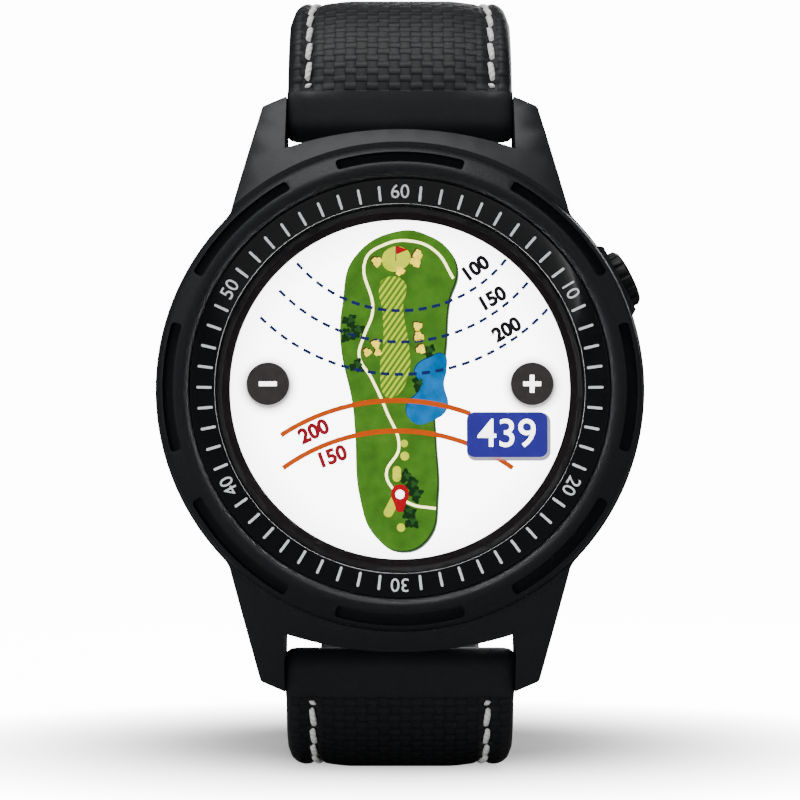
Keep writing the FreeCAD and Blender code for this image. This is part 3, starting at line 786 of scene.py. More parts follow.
def lettering(words: str, height: float, thick: float = 0.03, bold: float = 0.0) -> bpy.types.Mesh:
    """Mesh of centred generic figures, in millimetres, lying flat.

    Args:
        words: The figures.
        height: Their height.
        thick: Half their thickness.
        bold: How far each outline grows.

    Returns:
        The flat mesh.
    """
    data = bpy.data.curves.new("figures", "FONT")
    data.body = words
    data.size = height * 1.38
    data.align_x = "CENTER"
    data.align_y = "CENTER"
    data.extrude = thick
    data.offset = bold
    data.resolution_u = 4
    holder = bpy.data.objects.new("figures", data)
    bpy.context.collection.objects.link(holder)
    return flat_mesh(holder)


def blob(points: Sequence[Point], thick: float = 0.004, straight: bool = False,
         closed: bool = True, line: float = 0.0) -> bpy.types.Mesh:
    """Flat smooth shape or line through a few points, in millimetres.

    Args:
        points: Points of the outline or line.
        thick: Half thickness.
        straight: Whether the corners stay sharp.
        closed: Whether the outline closes and is filled.
        line: Width of the line of an open shape.

    Returns:
        The flat mesh.
    """
    data = bpy.data.curves.new("outline", "CURVE")
    data.dimensions = "2D" if closed else "3D"
    data.resolution_u = 8
    spline = data.splines.new("BEZIER")
    spline.bezier_points.add(len(points) - 1)
    for spot, (x, z) in zip(spline.bezier_points, points):
        spot.co = (x, z, 0.0)
        spot.handle_left_type = spot.handle_right_type = "VECTOR" if straight else "AUTO"
    spline.use_cyclic_u = closed
    if closed:
        data.fill_mode = "BOTH"
        data.extrude = thick
    else:
        data.bevel_depth = line / 2
        data.bevel_resolution = 2
    holder = bpy.data.objects.new("outline", data)
    bpy.context.collection.objects.link(holder)
    mesh = flat_mesh(holder)
    if not closed:
        mesh.transform(Matrix.Scale(thick / (line / 2), 4, (0, 0, 1)))
    return mesh


def joined(meshes: Sequence[bpy.types.Mesh]) -> bmesh.types.BMesh:
    """Several meshes as one bmesh.

    Args:
        meshes: Meshes to join, which are then removed.

    Returns:
        All of them together.
    """
    total = bmesh.new()
    for mesh in meshes:
        total.from_mesh(mesh)
        bpy.data.meshes.remove(mesh)
    return total


# ---------------------------------------------------------------- case


@dataclass
class Case:
    """Bezel, tick ring and the finishes of the CAD case parts."""

    slot_middle: float = 21.85
    slot_half_angle: float = 15.0
    slot_skew: float = 1.0
    slot_depth: float = 1.15
    ring_inner: float = 17.5
    ring_outer: float = 19.85
    ring_low: float = 1.55
    ring_high: float = 0.95
    tick_inner: float = 17.75
    tick_outer: float = 19.2
    tick_width: float = 0.24
    cad_finish: dict[str, Finish] = field(default_factory=lambda: {
        "mid_case": Finish.CASE,
        "back_cover": Finish.CASE,
        "cover_glass": Finish.GLASS,
        "touch_sensor": Finish.FILM,
        "glass_gasket": Finish.SEAL,
        "display_frame": Finish.DARK,
        "display_flex": Finish.COPPER_FILM,
        "main_board": Finish.GREEN_BOARD,
        "shield_can": Finish.STEEL,
        "board_chips": Finish.DARK,
        "gps_antenna": Finish.COPPER_FILM,
        "battery": Finish.FOIL,
        "battery_lead": Finish.SEAL,
        "battery_connector": Finish.DARK,
        "vibration_motor": Finish.STEEL,
        "button_switch": Finish.DARK,
        "button_tube": Finish.STEEL,
        "button_spring": Finish.STEEL,
        "back_gasket": Finish.SEAL,
        "back_screws": Finish.STEEL,
        "charge_contacts": Finish.GOLD,
        "charge_flex": Finish.COPPER_FILM,
        "button_stem": Finish.STEEL,
        "button_o_ring": Finish.SEAL,
        "button_clip": Finish.STEEL,
        "upper_bar_tube": Finish.STEEL,
        "upper_bar_spring": Finish.STEEL,
        "upper_bar_tip_left": Finish.STEEL,
        "upper_bar_tip_right": Finish.STEEL,
        "lower_bar_tube": Finish.STEEL,
        "lower_bar_spring": Finish.STEEL,
        "lower_bar_tip_left": Finish.STEEL,
        "lower_bar_tip_right": Finish.STEEL,
        "buckle_frame": Finish.BLACK_STEEL,
        "buckle_bar": Finish.STEEL,
        "buckle_tang": Finish.BLACK_STEEL,
        "button_cap": Finish.BUTTON,
    })

    def dress_cad(self) -> None:
        """Give every CAD part that stays its finish, and soft edges to the case, back cover, buckle
        frame, tang and button cap.
        """
        rounded = {"mid_case": 0.22, "back_cover": 0.15, "buckle_frame": 0.35, "buckle_tang": 0.25,
                   "button_cap": 0.12}
        for node, finish in self.cad_finish.items():
            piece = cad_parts[node]
            if not piece.material_slots:
                piece.data.materials.append(finish.material())
            for slot in piece.material_slots:
                slot.material = finish.material()
            if node in rounded:
                soften(piece, rounded[node])

    def build_bezel(self) -> bpy.types.Object:
        """Rounded bezel with eight recessed slots.

        Returns:
            The bezel.
        """
        crest = arc_points((20.75, 1.05), 0.85, 180, 255, 8) + [(21.0, 0.24)]
        profile = [(19.9, 3.25)] + crest + [(21.3, 0.36), (22.4, 1.13)]
        profile += arc_points((21.75, 2.2), 1.25, 302, 360, 7) + [(23.0, 3.25)]
        mesh = spun(profile, 240)

        def in_slot(face: bmesh.types.BMFace) -> bool:
            spot = face.calc_center_median() - PLACE.at(0.0, 0.0, 0.0)
            radius = math.hypot(spot.x, spot.z) / MM
            angle = math.degrees(math.atan2(spot.x, spot.z)) % 45.0
            near = min(angle, 45.0 - angle)
            on_band = abs(radius - self.slot_middle) < 0.3 and face.normal.y < 0
            return on_band and near < self.slot_half_angle

        faces = [face for face in mesh.faces if in_slot(face)]
        for vert in mesh.verts:
            spot = vert.co - PLACE.at(0.0, 0.0, 0.0)
            out = math.hypot(spot.x, spot.z) / MM - self.slot_middle
            if abs(out) < 0.8 and spot.y < 2.0 * MM:
                shift = self._spread(dial_angle(vert), self.slot_skew if out > 0 else -self.slot_skew)
                vert.co = PLACE.at(0.0, 0.0, 0.0) + Matrix.Rotation(math.radians(shift), 3, "Y") @ spot
        grown = bmesh.ops.extrude_face_region(mesh, geom=faces)
        sunk = [item for item in grown["geom"] if isinstance(item, bmesh.types.BMVert)]
        bmesh.ops.delete(mesh, geom=faces, context="FACES")
        for vert in sunk:
            vert.co.y += self.slot_depth * MM
        mesh.normal_update()
        corners = [edge for vert in sunk for edge in vert.link_edges
                   if edge.other_vert(vert) not in set(sunk) and edge.calc_face_angle(0.0) > 0.5]
        bmesh.ops.bevel(mesh, geom=corners, offset=0.32 * MM, segments=4, affect="EDGES", profile=0.5,
                        material=-1, clamp_overlap=True)
        mesh.normal_update()
        rims = [edge for edge in mesh.edges if self._on_rim(edge)]
        bmesh.ops.bevel(mesh, geom=rims, offset=0.1 * MM, segments=2, affect="EDGES",
                        profile=0.5, material=-1, clamp_overlap=True)
        bmesh.ops.recalc_face_normals(mesh, faces=mesh.faces)
        piece = new_piece("bezel_ring", mesh, Finish.BEZEL.material(), "head")
        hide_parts("bezel")
        keep_corners(piece, 32.0)
        return piece

    def _spread(self, angle: float, skew: float) -> float:
        """How far a point at a dial angle moves so that its slot grows by the skew at each end.

        Args:
            angle: Angle on the dial in degrees.
            skew: Growth of the slot at each end in degrees.

        Returns:
            The move in degrees.
        """
        turn = (angle + 22.5) % 45.0 - 22.5
        half = self.slot_half_angle
        share = min(abs(turn) / half, (22.5 - abs(turn)) / (22.5 - half))
        return math.copysign(skew * share, turn)

    def _on_rim(self, edge: bmesh.types.BMEdge) -> bool:
        """True for an edge between a slot's wall and the bezel's face.

        Args:
            edge: Edge to test.

        Returns:
            True for a slot's rim.
        """
        if len(edge.link_faces) != 2 or edge.calc_face_angle(0.0) < 0.7:
            return False
        for vert in edge.verts:
            spot = vert.co - PLACE.at(0.0, 0.0, 0.0)
            radius, depth = math.hypot(spot.x, spot.z) / MM, spot.y / MM
            if abs(radius - self.slot_middle) > 0.75 or depth > 1.3:
                return False
        return True

    def ring_depth(self, radius: float) -> float:
        """Depth of the tick ring's face at a radius.

        Args:
            radius: Distance from the dial's centre.

        Returns:
            The depth in millimetres.
        """
        share = (radius - self.ring_inner) / (self.ring_outer - self.ring_inner)
        return self.ring_low + (self.ring_high - self.ring_low) * share

    @property
    def ring_lean(self) -> float:
        """Slope of the tick ring's face, in radians."""
        return math.atan2(self.ring_low - self.ring_high, self.ring_outer - self.ring_inner)

    def build_ring(self) -> bpy.types.Object:
        """Glossy ring with a rounded inner lip.

        Returns:
            The ring.
        """
        profile = [
            (self.ring_inner, 3.3),
            (self.ring_inner, self.ring_low + 0.08),
            (self.ring_inner + 0.03, self.ring_low + 0.02),
            (self.ring_inner + 0.1, self.ring_low - 0.02),
            (self.ring_outer - 0.1, self.ring_high + 0.02),
            (self.ring_outer, self.ring_high + 0.06),
            (self.ring_outer, 3.3),
        ]
        piece = new_piece("tick_ring_gloss", spun(profile), Finish.RING.material(), "head")
        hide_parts("tick_ring")
        keep_corners(piece, 30.0)
        return piece

    def build_ticks(self) -> bpy.types.Object:
        """Minute ticks, left out where figures stand.

        Returns:
            The ticks as one piece.
        """
        tick = bmesh.new()
        middle = (self.tick_inner + self.tick_outer) / 2
        length = self.tick_outer - self.tick_inner
        for minute in range(60):
            if minute % 10 == 0:
                continue
            made = bmesh.ops.create_cube(tick, size=1.0)
            shape = Matrix.Diagonal((self.tick_width * MM, 0.03 * MM, length * MM, 1.0))
            tilt = Matrix.Rotation(self.ring_lean, 4, "X")
            out = Matrix.Translation(Vector((0, self.ring_depth(middle) * MM - 0.012 * MM, middle * MM)))
            turn = Matrix.Rotation(math.radians(6.0 * minute), 4, "Y")
            move = Matrix.Translation(PLACE.at(0.0, 0.0, 0.0))
            bmesh.ops.transform(tick, matrix=move @ turn @ out @ tilt @ shape, verts=made["verts"])
        corners = [edge for edge in tick.edges if edge.calc_length() < 0.05 * MM
                   and abs(edge.verts[0].co.y - edge.verts[1].co.y) > 1e-9]
        bmesh.ops.bevel(tick, geom=corners, offset=0.1 * MM, segments=2, affect="EDGES", profile=0.5,
                        material=-1)
        return new_piece("minute_ticks", tick, Finish.TICK.material(), "head", False)

    def build_figures(self) -> list[bpy.types.Object]:
        """Generic minute figures, tops outwards.

        Returns:
            One piece for each figure.
        """
        pieces = []
        radius = 18.55
        lean = math.degrees(self.ring_lean)
        for minute in (10, 20, 30, 40, 50, 60):
            turn = 6.0 * minute
            mesh = lettering(str(minute), 1.34, 0.015)
            place = math.radians(turn)
            x, z = radius * math.sin(place), radius * math.cos(place)
            stand_up(mesh, x, z, self.ring_depth(radius) - 0.01, turn, -lean)
            pieces.append(new_piece(f"figure_{minute}", mesh, Finish.TICK.material(), "head",
                                    False))
        return pieces


def keep_corners(piece: bpy.types.Object, angle: float) -> None:
    """Keep edges sharper than an angle sharp while the rest stays smooth.

    Args:
        piece: Piece to mark.
        angle: Angle in degrees.
    """
    mesh = piece.data
    shape = bmesh.new()
    shape.from_mesh(mesh)
    limit = math.radians(angle)
    for edge in shape.edges:
        edge.smooth = len(edge.link_faces) != 2 or edge.calc_face_angle(0.0) < limit
    shape.to_mesh(mesh)
    shape.free()


# ---------------------------------------------------------------- screen


def flat_box(width: float, height: float, corner: float) -> bpy.types.Mesh:
    """Flat rectangle with rounded corners, in millimetres.

    Args:
        width: Its width.
        height: Its height.
        corner: Radius of its corners.

    Returns:
        The flat mesh.
    """
    mesh = bmesh.new()
    bmesh.ops.create_grid(mesh, x_segments=1, y_segments=1, size=0.5)
    bmesh.ops.scale(mesh, vec=(width, height, 1.0), verts=mesh.verts)
    bmesh.ops.bevel(mesh, geom=mesh.verts[:], offset=corner, segments=6, affect="VERTICES", profile=0.5,
                    material=-1)
    return as_mesh(mesh)


def flat_disc(radius: float) -> bpy.types.Mesh:
    """Flat disc in millimetres, with coordinates that run from -1 to 1 across it.

    Args:
        radius: Its radius.

    Returns:
        The flat mesh.
    """
    mesh = bmesh.new()
    bmesh.ops.create_circle(mesh, cap_ends=True, segments=72, radius=radius)
    uv = mesh.loops.layers.uv.new("UVMap")
    for face in mesh.faces:
        for loop in face.loops:
            loop[uv].uv = loop.vert.co.xy / radius
    return as_mesh(mesh)


def flat_arc(centre: Point, radius: float, start: float, end: float, width: float,
             steps: int) -> bpy.types.Mesh:
    """Flat band along an arc, angles in degrees from straight up and growing clockwise.

    Args:
        centre: Centre of the arc on the screen.
        radius: Radius of the band's middle.
        start: First angle.
        end: Last angle.
        width: Width of the band.
        steps: Faces along the band.

    Returns:
        The flat mesh in millimetres.
    """
    mesh = bmesh.new()
    bmesh.ops.create_grid(mesh, x_segments=steps, y_segments=1, size=0.5)
    for vert in mesh.verts:
        turn = math.radians(start + (end - start) * (vert.co.x + 0.5))
        reach = radius + width * vert.co.y
        vert.co = Vector((centre[0] + reach * math.sin(turn), centre[1] + reach * math.cos(turn), 0.0))
    bmesh.ops.remove_doubles(mesh, verts=mesh.verts, dist=1e-5)
    return as_mesh(mesh)


def as_mesh(shape: bmesh.types.BMesh) -> bpy.types.Mesh:
    """Turn a bmesh into mesh data.

    Args:
        shape: Shape to convert, which is then freed.

    Returns:
        The mesh.
    """
    data = bpy.data.meshes.new("flat")
    shape.to_mesh(data)
    shape.free()
    return data


def shifted(mesh: bpy.types.Mesh, x: float, z: float, turn: float = 0.0) -> bpy.types.Mesh:
    """Move a flat mesh on the screen after turning it anticlockwise.

    Args:
        mesh: Flat mesh.
        x: Move to the right.
        z: Move up.
        turn: Turn in degrees.

    Returns:
        The same mesh.
    """
    mesh.transform(Matrix.Translation((x, z, 0.0)) @ Matrix.Rotation(math.radians(turn), 4, "Z"))
    return mesh


@dataclass(frozen=True)
class SoftShadow:
    """Grey patch that fades towards its rim."""

    name: str
    strength: float = 0.88

    def make(self) -> bpy.types.Material:
        """Build the material.

        Returns:
            The material.
        """
        graph = Graph(self.name)
        across, up = graph.cloth()
        reach = (across * across + up * up).apply("SQRT")
        fade = (((1.0 - reach).at_least(0.0) * 3.2).apply("POWER", 1.5)).at_most(1.0)
        grain = graph.noise(3000.0) * 0.04
        material = graph.finish(Base_Color=(0.05, 0.05, 0.05), Roughness=0.8, Specular_IOR_Level=0.0,
                                Alpha=fade * (self.strength + grain))
        material.surface_render_method = "BLENDED"
        return material


@dataclass(frozen=True)
class ScreenWhite:
    """White backlight with painted shade that dims it a little at the rim."""

    name: str
    radius: float = 16.2

    def make(self) -> bpy.types.Material:
        """Build the material.

        Returns:
            The material.
        """
        graph = Graph(self.name)
        across, up = graph.cloth()
        reach = (across * across + up * up).apply("SQRT")
        # Painted shade: the white darkens towards grey over the disc's outer part, next to the border.
        rim = ((reach - 0.82) * 5.0).at_least(0.0).at_most(1.0)
        dots = graph.noise(4000.0, 2.0) * 0.1
        shade = graph.blend(rim * 0.6 + dots * 0.2, (1.0, 1.0, 1.0), (0.5, 0.52, 0.54))
        return graph.finish(Base_Color=shade, Roughness=0.4, Emission_Color=shade, Emission_Strength=9.0,
                            Specular_IOR_Level=0.1)


@dataclass
class Screen:
    """Lit display with a generic plan of a golf hole, its distances and its buttons."""

    body: str = "head"
    slot: str = "display"
    deepest: float = 3.4
    level_step: float = 0.011
    lit_radius: float = 16.2
    rim_radius: float = 17.35

    def build(self) -> None:
        """Draw the screen from its white ground up."""
        self._ground()
        self._course()
        self._distances()
        self._controls()

    def _paint(self, name: str, meshes: Sequence[bpy.types.Mesh], paint: object,
               level: int) -> bpy.types.Object:
        """Lay flat meshes on one level of the screen.

        Args:
            name: Name of the piece.
            meshes: Flat shapes in millimetres.
            paint: Finish with a make method.
            level: How many layers up it lies.

        Returns:
            The piece.
        """
        for mesh in meshes:
            stand_up(mesh, 0.0, 0.0, self.deepest - self.level_step * level)
        return new_piece(name, joined(meshes), paint.make(), self.body, False)

    def _ground(self) -> None:
        """White disc, black printed border and the panel's edge."""
        profile = [(16.6, 3.42), (16.75, 3.5), (16.75, 4.8), (16.65, 4.9), (0.02, 4.9), (0.02, 3.42)]
        panel = spun(profile, 96)
        piece = new_piece("display_module", panel, Finish.DARK.material(), self.body)
        keep_corners(piece, 30.0)
        white = self._paint("screen_white", [flat_disc(self.lit_radius + 0.05)],
                            ScreenWhite("screen_white"), 0)
        middle, width = (self.lit_radius + self.rim_radius) / 2, self.rim_radius - self.lit_radius
        border = self._paint("screen_border", [flat_arc((0, 0), middle, 0, 360, width, 180)],
                             Gloss("border_print", (0.010, 0.006, 0.007), 0.3), 8)
        for part in (piece, white, border):
            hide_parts("display_panel")

    def _course(self) -> None:
        """Hole seen from above: rough, fairway, water, sand, trees and path."""
        rough_outline = [(0.1, 15.2), (2.8, 14.7), (4.6, 13.4), (5.4, 11.4), (4.6, 8.4), (4.2, 3.4),
                         (3.2, -1.5), (3.3, -4.6), (3.5, -10.1), (2.6, -14.2), (0, -15.4),
                         (-2.4, -14.0), (-3.8, -10.5), (-4.3, -4.0), (-4.5, -1.7), (-5.7, 4.5),
                         (-5.5, 8.2), (-4.4, 12.6)]
        shadows = ((0.22, (0.22, 0.3, 0.2)), (0.11, (0.01, 0.05, 0.01)))
        for step, (shift, shade) in enumerate(shadows):
            outline = shifted(blob(rough_outline), shift, -shift)
            name = f"rough_shadow_{step}"
            self._paint(name, [outline], Lit(name, shade, shade), 1 + step)
        self._paint("rough", [blob(rough_outline)],
                    Lit("rough_grass", (0.06, 0.19, 0.017), (0.115, 0.35, 0.026), 700.0), 3)
        fairway = [(-1.5, 10.6), (0.4, 10.3), (0.3, 7.8), (0.9, 3.7), (0.9, 1.7), (-0.6, -0.8),
                   (-1.25, -0.8), (-1.9, 1.6), (-1.6, 4.4), (-1.7, 7.6), (-2.0, 9.6)]
        stripes = Lit("fairway_stripes", (0.07, 0.23, 0.022), (0.74, 1.0, 0.002), glow=1.25,
                      stripes=0.45, turn=math.radians(55))
        self._paint("fairway", [blob(fairway)], stripes, 4)
        water = [(4.2, 3.3), (3.0, 3.1), (1.4, 1.8), (2.0, 0.3), (0.6, -1.9), (1.5, -3.3), (2.9, -3.1),
                 (4.5, -1.9), (4.2, 0.6), (4.45, 1.8)]
        self._paint("water_edge", [shifted(blob(water), -0.08, 0.08)],
                    Lit("water_edge", (0.01, 0.05, 0.14), (0.02, 0.09, 0.24)), 4)
        self._paint("water", [blob(water)], Lit("water", (0.0, 0.15, 0.42), (0.0, 0.31, 0.95), 900.0), 5)
        green = [(-1.7, 12.6), (-1.0, 13.5), (0.4, 13.5), (1.0, 12.7), (0.4, 11.6), (-1.2, 11.4)]
        tees = [shifted(flat_disc(0.36), 0.4, -5.2), shifted(flat_disc(0.42), 0.45, -6.4),
                shifted(flat_box(0.8, 1.5, 0.39), -0.3, -8.1),
                shifted(flat_box(0.9, 2.4, 0.44), -0.75, -11.1, -28),
                shifted(flat_disc(0.4), 0.1, -13.2)]
        self._paint("mown_green", [blob(green), *tees],
                    Lit("mown_grass", (0.55, 0.7, 0.002), (0.95, 1.0, 0.01), 900.0, 1.5), 5)
        path = [(5.1, 10.6), (3.4, 13.2), (1.0, 14.2), (-1.6, 13.8), (-3.3, 12.4), (-2.6, 7.5),
                (-3.5, 4.9), (-3.9, 3.2), (-2.7, 1.0), (-1.3, -2.1), (-0.1, -5.6), (-1.3, -8.1),
                (-0.6, -9.6), (0.9, -10.9), (3.4, -11.4)]
        self._paint("cart_path", [blob(path, closed=False, line=0.26)],
                    Lit("path_cream", (0.8, 0.75, 0.25), (1.0, 0.94, 0.5), 2500.0, 5.0), 4)
        sand = [((-2.2, 12.2), 0.45), ((0.0, 11.3), 0.42), ((1.7, 12.9), 0.42), ((1.5, 12.2), 0.5),
                ((1.7, 6.0), 0.4), ((1.8, 5.0), 0.45), ((2.0, 3.8), 0.42), ((-2.3, 4.3), 0.4),
                ((-3.1, 3.5), 0.36), ((-2.1, 3.5), 0.34)]
        edges = [shifted(self._cloud(size * 1.12, number), x - 0.09, z + 0.09)
                 for number, ((x, z), size) in enumerate(sand)]
        fills = [shifted(self._cloud(size, number), x, z) for number, ((x, z), size) in enumerate(sand)]
        brown = Lit("sand_edge", (0.06, 0.04, 0.014), (0.12, 0.083, 0.03))
        self._paint("sand_edges", edges, brown, 5)
        self._paint("sand", fills, Lit("sand", (0.43, 0.32, 0.002), (1.0, 0.74, 0.004), 2500.0, 3.6), 6)
        trees = [(-4.8, 6.5), (-4.1, 5.6), (-5.0, 5.1), (-4.1, 2.2), (2.7, 3.6), (1.8, 0.5),
                 (0.6, -8.4), (1.2, -9.2), (1.5, -10.1), (0.8, -11.7), (1.1, -12.7)]
        crowns = [shifted(self._cloud(0.62, number + 3, 0.28), x, z)
                  for number, (x, z) in enumerate(trees)]
        tops = [shifted(self._cloud(0.3, number + 5, 0.3), x + 0.12, z + 0.14)
                for number, (x, z) in enumerate(trees)]
        dark = Lit("tree_dark", (0.006, 0.03, 0.007), (0.014, 0.065, 0.014), 2600.0)
        light = Lit("tree_light", (0.024, 0.095, 0.02), (0.036, 0.14, 0.026), 2600.0)
        self._paint("trees", crowns, dark, 5)
        self._paint("tree_tops", tops, light, 6)
        pole = shifted(flat_box(0.09, 1.5, 0.02), -0.4, 13.0)
        self._paint("flag_pole", [pole], Lit("pole_grey", (0.08, 0.07, 0.07), (0.16, 0.14, 0.14)), 6)
        flag = [(-0.36, 13.75), (0.75, 13.35), (-0.36, 12.9)]
        self._paint("flag", [blob(flag, straight=True)],
                    Lit("flag_red", (0.6, 0.0, 0.01), (0.75, 0.001, 0.018)), 6)

    def _cloud(self, size: float, seed: int, depth: float = 0.16) -> bpy.types.Mesh:
        """Small wavy patch.

        Args:
            size: Mean radius.
            seed: Number that sets the waves.
            depth: Height of the waves as a share.

        Returns:
            The flat mesh.
        """
        mesh = bmesh.new()
        bmesh.ops.create_circle(mesh, cap_ends=True, segments=30, radius=size)
        for vert in mesh.verts:
            turn = math.atan2(vert.co.y, vert.co.x)
            broad, fine = math.sin(turn * 3 + seed * 1.7), math.sin(turn * 7 + seed)
            vert.co *= 1.0 + depth * broad + depth * 0.6 * fine
        return as_mesh(mesh)

    def _distances(self) -> None:
        """Dashed and orange distance arcs with their figures."""
        dashes = []
        centre, dash, gap = (0.0, 20.4), 0.8, 0.5
        for radius, reach in ((12.9, 10.15), (15.9, 12.2), (19.0, 14.1)):
            half = math.degrees(math.asin(reach / radius))
            pitch = math.degrees((dash + gap) / radius)
            start = 180.0 - half
            while start < 180.0 + half - pitch * 0.5:
                end = start + pitch * dash / (dash + gap)
                dashes.append(flat_arc(centre, radius, start, end, 0.3, 3))
                start += pitch
        self._paint("dashed_arcs", dashes, Lit("dash_navy", (0.012, 0.02, 0.12), (0.02, 0.032, 0.18)), 6)
        arcs = [flat_arc((-0.3, -21.1), 20.0, -33.5, 20.5, 0.48, 40),
                flat_arc((-0.2, -22.6), 18.6, -36.0, 36.0, 0.48, 48)]
        self._paint("orange_arcs", arcs, Lit("arc_orange", (0.82, 0.095, 0.0), (0.95, 0.12, 0.0)), 6)
        red = Lit("figure_red", (0.38, 0.008, 0.02), (0.5, 0.014, 0.03))
        self._label("200", -8.2, -4.1, 25, 1.42, red, "red_200")
        self._label("150", -6.5, -6.5, 20, 1.42, red, "red_150")
        black = Lit("figure_black", (0.009, 0.009, 0.011), (0.016, 0.016, 0.018))
        labels = (("100", 7.2, 11.5, 35), ("150", 8.8, 8.6, 30), ("200", 10.2, 5.65, 30))
        for words, x, z, turn in labels:
            self._label(words, x, z, turn, 1.36, black, f"black_{words}")

    def _label(self, words: str, x: float, z: float, turn: float, height: float, paint: Lit,
               name: str) -> None:
        """Figures turned anticlockwise on the screen.

        Args:
            words: The figures.
            x: Place to the right of the screen's centre.
            z: Place above the screen's centre.
            turn: Anticlockwise turn in degrees.
            height: Height of the figures.
            paint: Their finish.
            name: Name of the piece.
        """
        self._paint(name, [shifted(lettering(words, height, 0.002, 0.1), x, z, turn)], paint, 7)

    def _controls(self) -> None:
        """Minus and plus discs, distance badge and the player's pin."""
        grey = Lit("disc_grey", (0.042, 0.037, 0.037), (0.06, 0.052, 0.052))
        bars = Lit("sign_white", (0.85, 0.85, 0.85), (1.0, 1.0, 1.0), glow=6.0)
        for side, name in ((-1, "minus"), (1, "plus")):
            shadow = shifted(flat_disc(2.95), side * 12.6 + 0.05, 0.3)
            self._paint(f"{name}_shadow", [shadow], SoftShadow("disc_shadow"), 5)
            self._paint(f"{name}_disc", [shifted(flat_disc(2.04), side * 12.6, 0.5)], grey, 6)
            signs = [shifted(flat_box(1.7, 0.44, 0.05), side * 12.6, 0.5)]
            if side > 0:
                signs.append(shifted(flat_box(1.7, 0.44, 0.05), side * 12.6, 0.5, 90))
            self._paint(f"{name}_sign", signs, bars, 7)
        shadow = shifted(flat_box(8.0, 4.6, 0.9), 10.35, -4.55)
        grey_blue = Lit("badge_shadow", (0.55, 0.55, 0.68), (0.75, 0.74, 0.9))
        self._paint("badge_shadow", [shadow], grey_blue, 6)
        self._paint("badge", [shifted(flat_box(7.7, 4.3, 0.73), 10.2, -4.35)],
                    Lit("badge_blue", (0.034, 0.028, 0.34), (0.05, 0.044, 0.46), 500.0), 7)
        figures = shifted(lettering("439", 2.75, 0.002, 0.02), 10.2, -4.35)
        self._paint("badge_figures", [figures], bars, 8)
        drop = [(0.0, -11.75), (0.62, -10.75), (0.84, -10.1), (0.6, -9.35), (0.0, -9.1), (-0.6, -9.35),
                (-0.84, -10.1), (-0.62, -10.75)]
        self._paint("pin", [blob(drop)], Lit("pin_red", (0.6, 0.0, 0.01), (0.7, 0.001, 0.018)), 7)
        self._paint("pin_dot", [shifted(flat_disc(0.44), 0.0, -10.05)], bars, 8)


# ---------------------------------------------------------------- straps


class Side(Enum):
    """Which half of the strap: up to the buckle or down to the tail."""

    UPPER = 1
    LOWER = -1


@dataclass
class Route:
    """Way of a strap's outer face: straights and bends towards the wrist."""

    side: Side
    bar: Point
    roll: float
    parts: list[tuple[float, float]] = field(default_factory=list)

    def straight(self, length: float) -> "Route":
        """Go on without turning.

        Args:
            length: Length of the run.

        Returns:
            The route, for the next part.
        """
        self.parts.append((length, 0.0))
        return self

    def bend(self, radius: float, degrees: float) -> "Route":
        """Turn towards the wrist.

        Args:
            radius: Radius of the outer face.
            degrees: Turn of the bend.

        Returns:
            The route, for the next part.
        """
        self.parts.append((radius * math.radians(degrees), radius))
        return self

    @property
    def length(self) -> float:
        """Length of the outer face from the bar."""
        return sum(length for length, _ in self.parts)

    def spot(self, along: float, inward: float) -> Point:
        """Depth and height of a point of the strap.

        Args:
            along: Distance from the bar along the outer face, negative round the roll.
            inward: Distance from the outer face towards the wrist.

        Returns:
            Depth and height in the dial's frame.
        """
        depth, height, turn = self.bar[0] - self.roll, abs(self.bar[1]), 0.0
        left = along
        if along < 0.0:
            turn = along / self.roll
            return self._roll(self.bar[0], abs(self.bar[1]), turn, self.roll - inward)
        for length, radius in self.parts:
            step = min(left, length)
            if radius:
                after = turn + step / radius
                depth += radius * (math.cos(turn) - math.cos(after))
                height += radius * (math.sin(after) - math.sin(turn))
                turn = after
            else:
                depth += step * math.sin(turn)
                height += step * math.cos(turn)
            left -= step
            if left <= 1e-9:
                break
        if left > 1e-9 and self.side is Side.UPPER:
            centre = depth + BUCKLE_ROLL * math.cos(turn), height - BUCKLE_ROLL * math.sin(turn)
            return self._roll(*centre, turn + left / BUCKLE_ROLL, BUCKLE_ROLL - inward)
        depth += left * math.sin(turn) + inward * math.cos(turn)
        height += left * math.cos(turn) - inward * math.sin(turn)
        return depth, height * self.side.value

    def _roll(self, depth: float, height: float, turn: float, radius: float) -> Point:
        """Point round a bar; turn nought faces the wearer.

        Args:
            depth: Depth of the bar.
            height: Height of the bar.
            turn: Angle round the bar in radians.
            radius: Distance from the bar.

        Returns:
            Depth and height.
        """
        return depth - radius * math.cos(turn), (height + radius * math.sin(turn)) * self.side.value

    def place(self, x: float, along: float, inward: float) -> Vector:
        """Point of the strap in the row frame."""
        depth, height = self.spot(along, inward)
        return PLACE.at(x, depth, height)


BAR_SPOT = (9.0, 26.5)
BAR_ROLL = 2.1
BUCKLE_ROLL = 2.05
TAIL_RADIUS = 40.0
UPPER_ROUTE = Route(Side.UPPER, BAR_SPOT, BAR_ROLL).straight(1.5).bend(13.5, 90)
UPPER_ROUTE.straight(6.5).bend(14, 90).straight(32.5)
LOWER_ROUTE = Route(Side.LOWER, BAR_SPOT, BAR_ROLL).straight(1.5).bend(9, 90)
LOWER_ROUTE.straight(31.1).bend(TAIL_RADIUS, 86)
ROUTES = {Side.UPPER: UPPER_ROUTE, Side.LOWER: LOWER_ROUTE}


def ease(share: float) -> float:
    """Smooth step between nought and one.

    Args:
        share: Any number; the step runs from nought to one.

    Returns:
        The eased share.
    """
    share = min(max(share, 0.0), 1.0)
    return share * share * (3.0 - 2.0 * share)


def rounding(inset: float) -> float:
    """How far a quarter round lies below its crown.

    Args:
        inset: Distance from the rim as a share of the round's width.

    Returns:
        One at the rim, falling to nought where the round ends.
    """
    return 1.0 - math.sqrt(max(1.0 - (1.0 - min(inset, 1.0)) ** 2, 0.0))


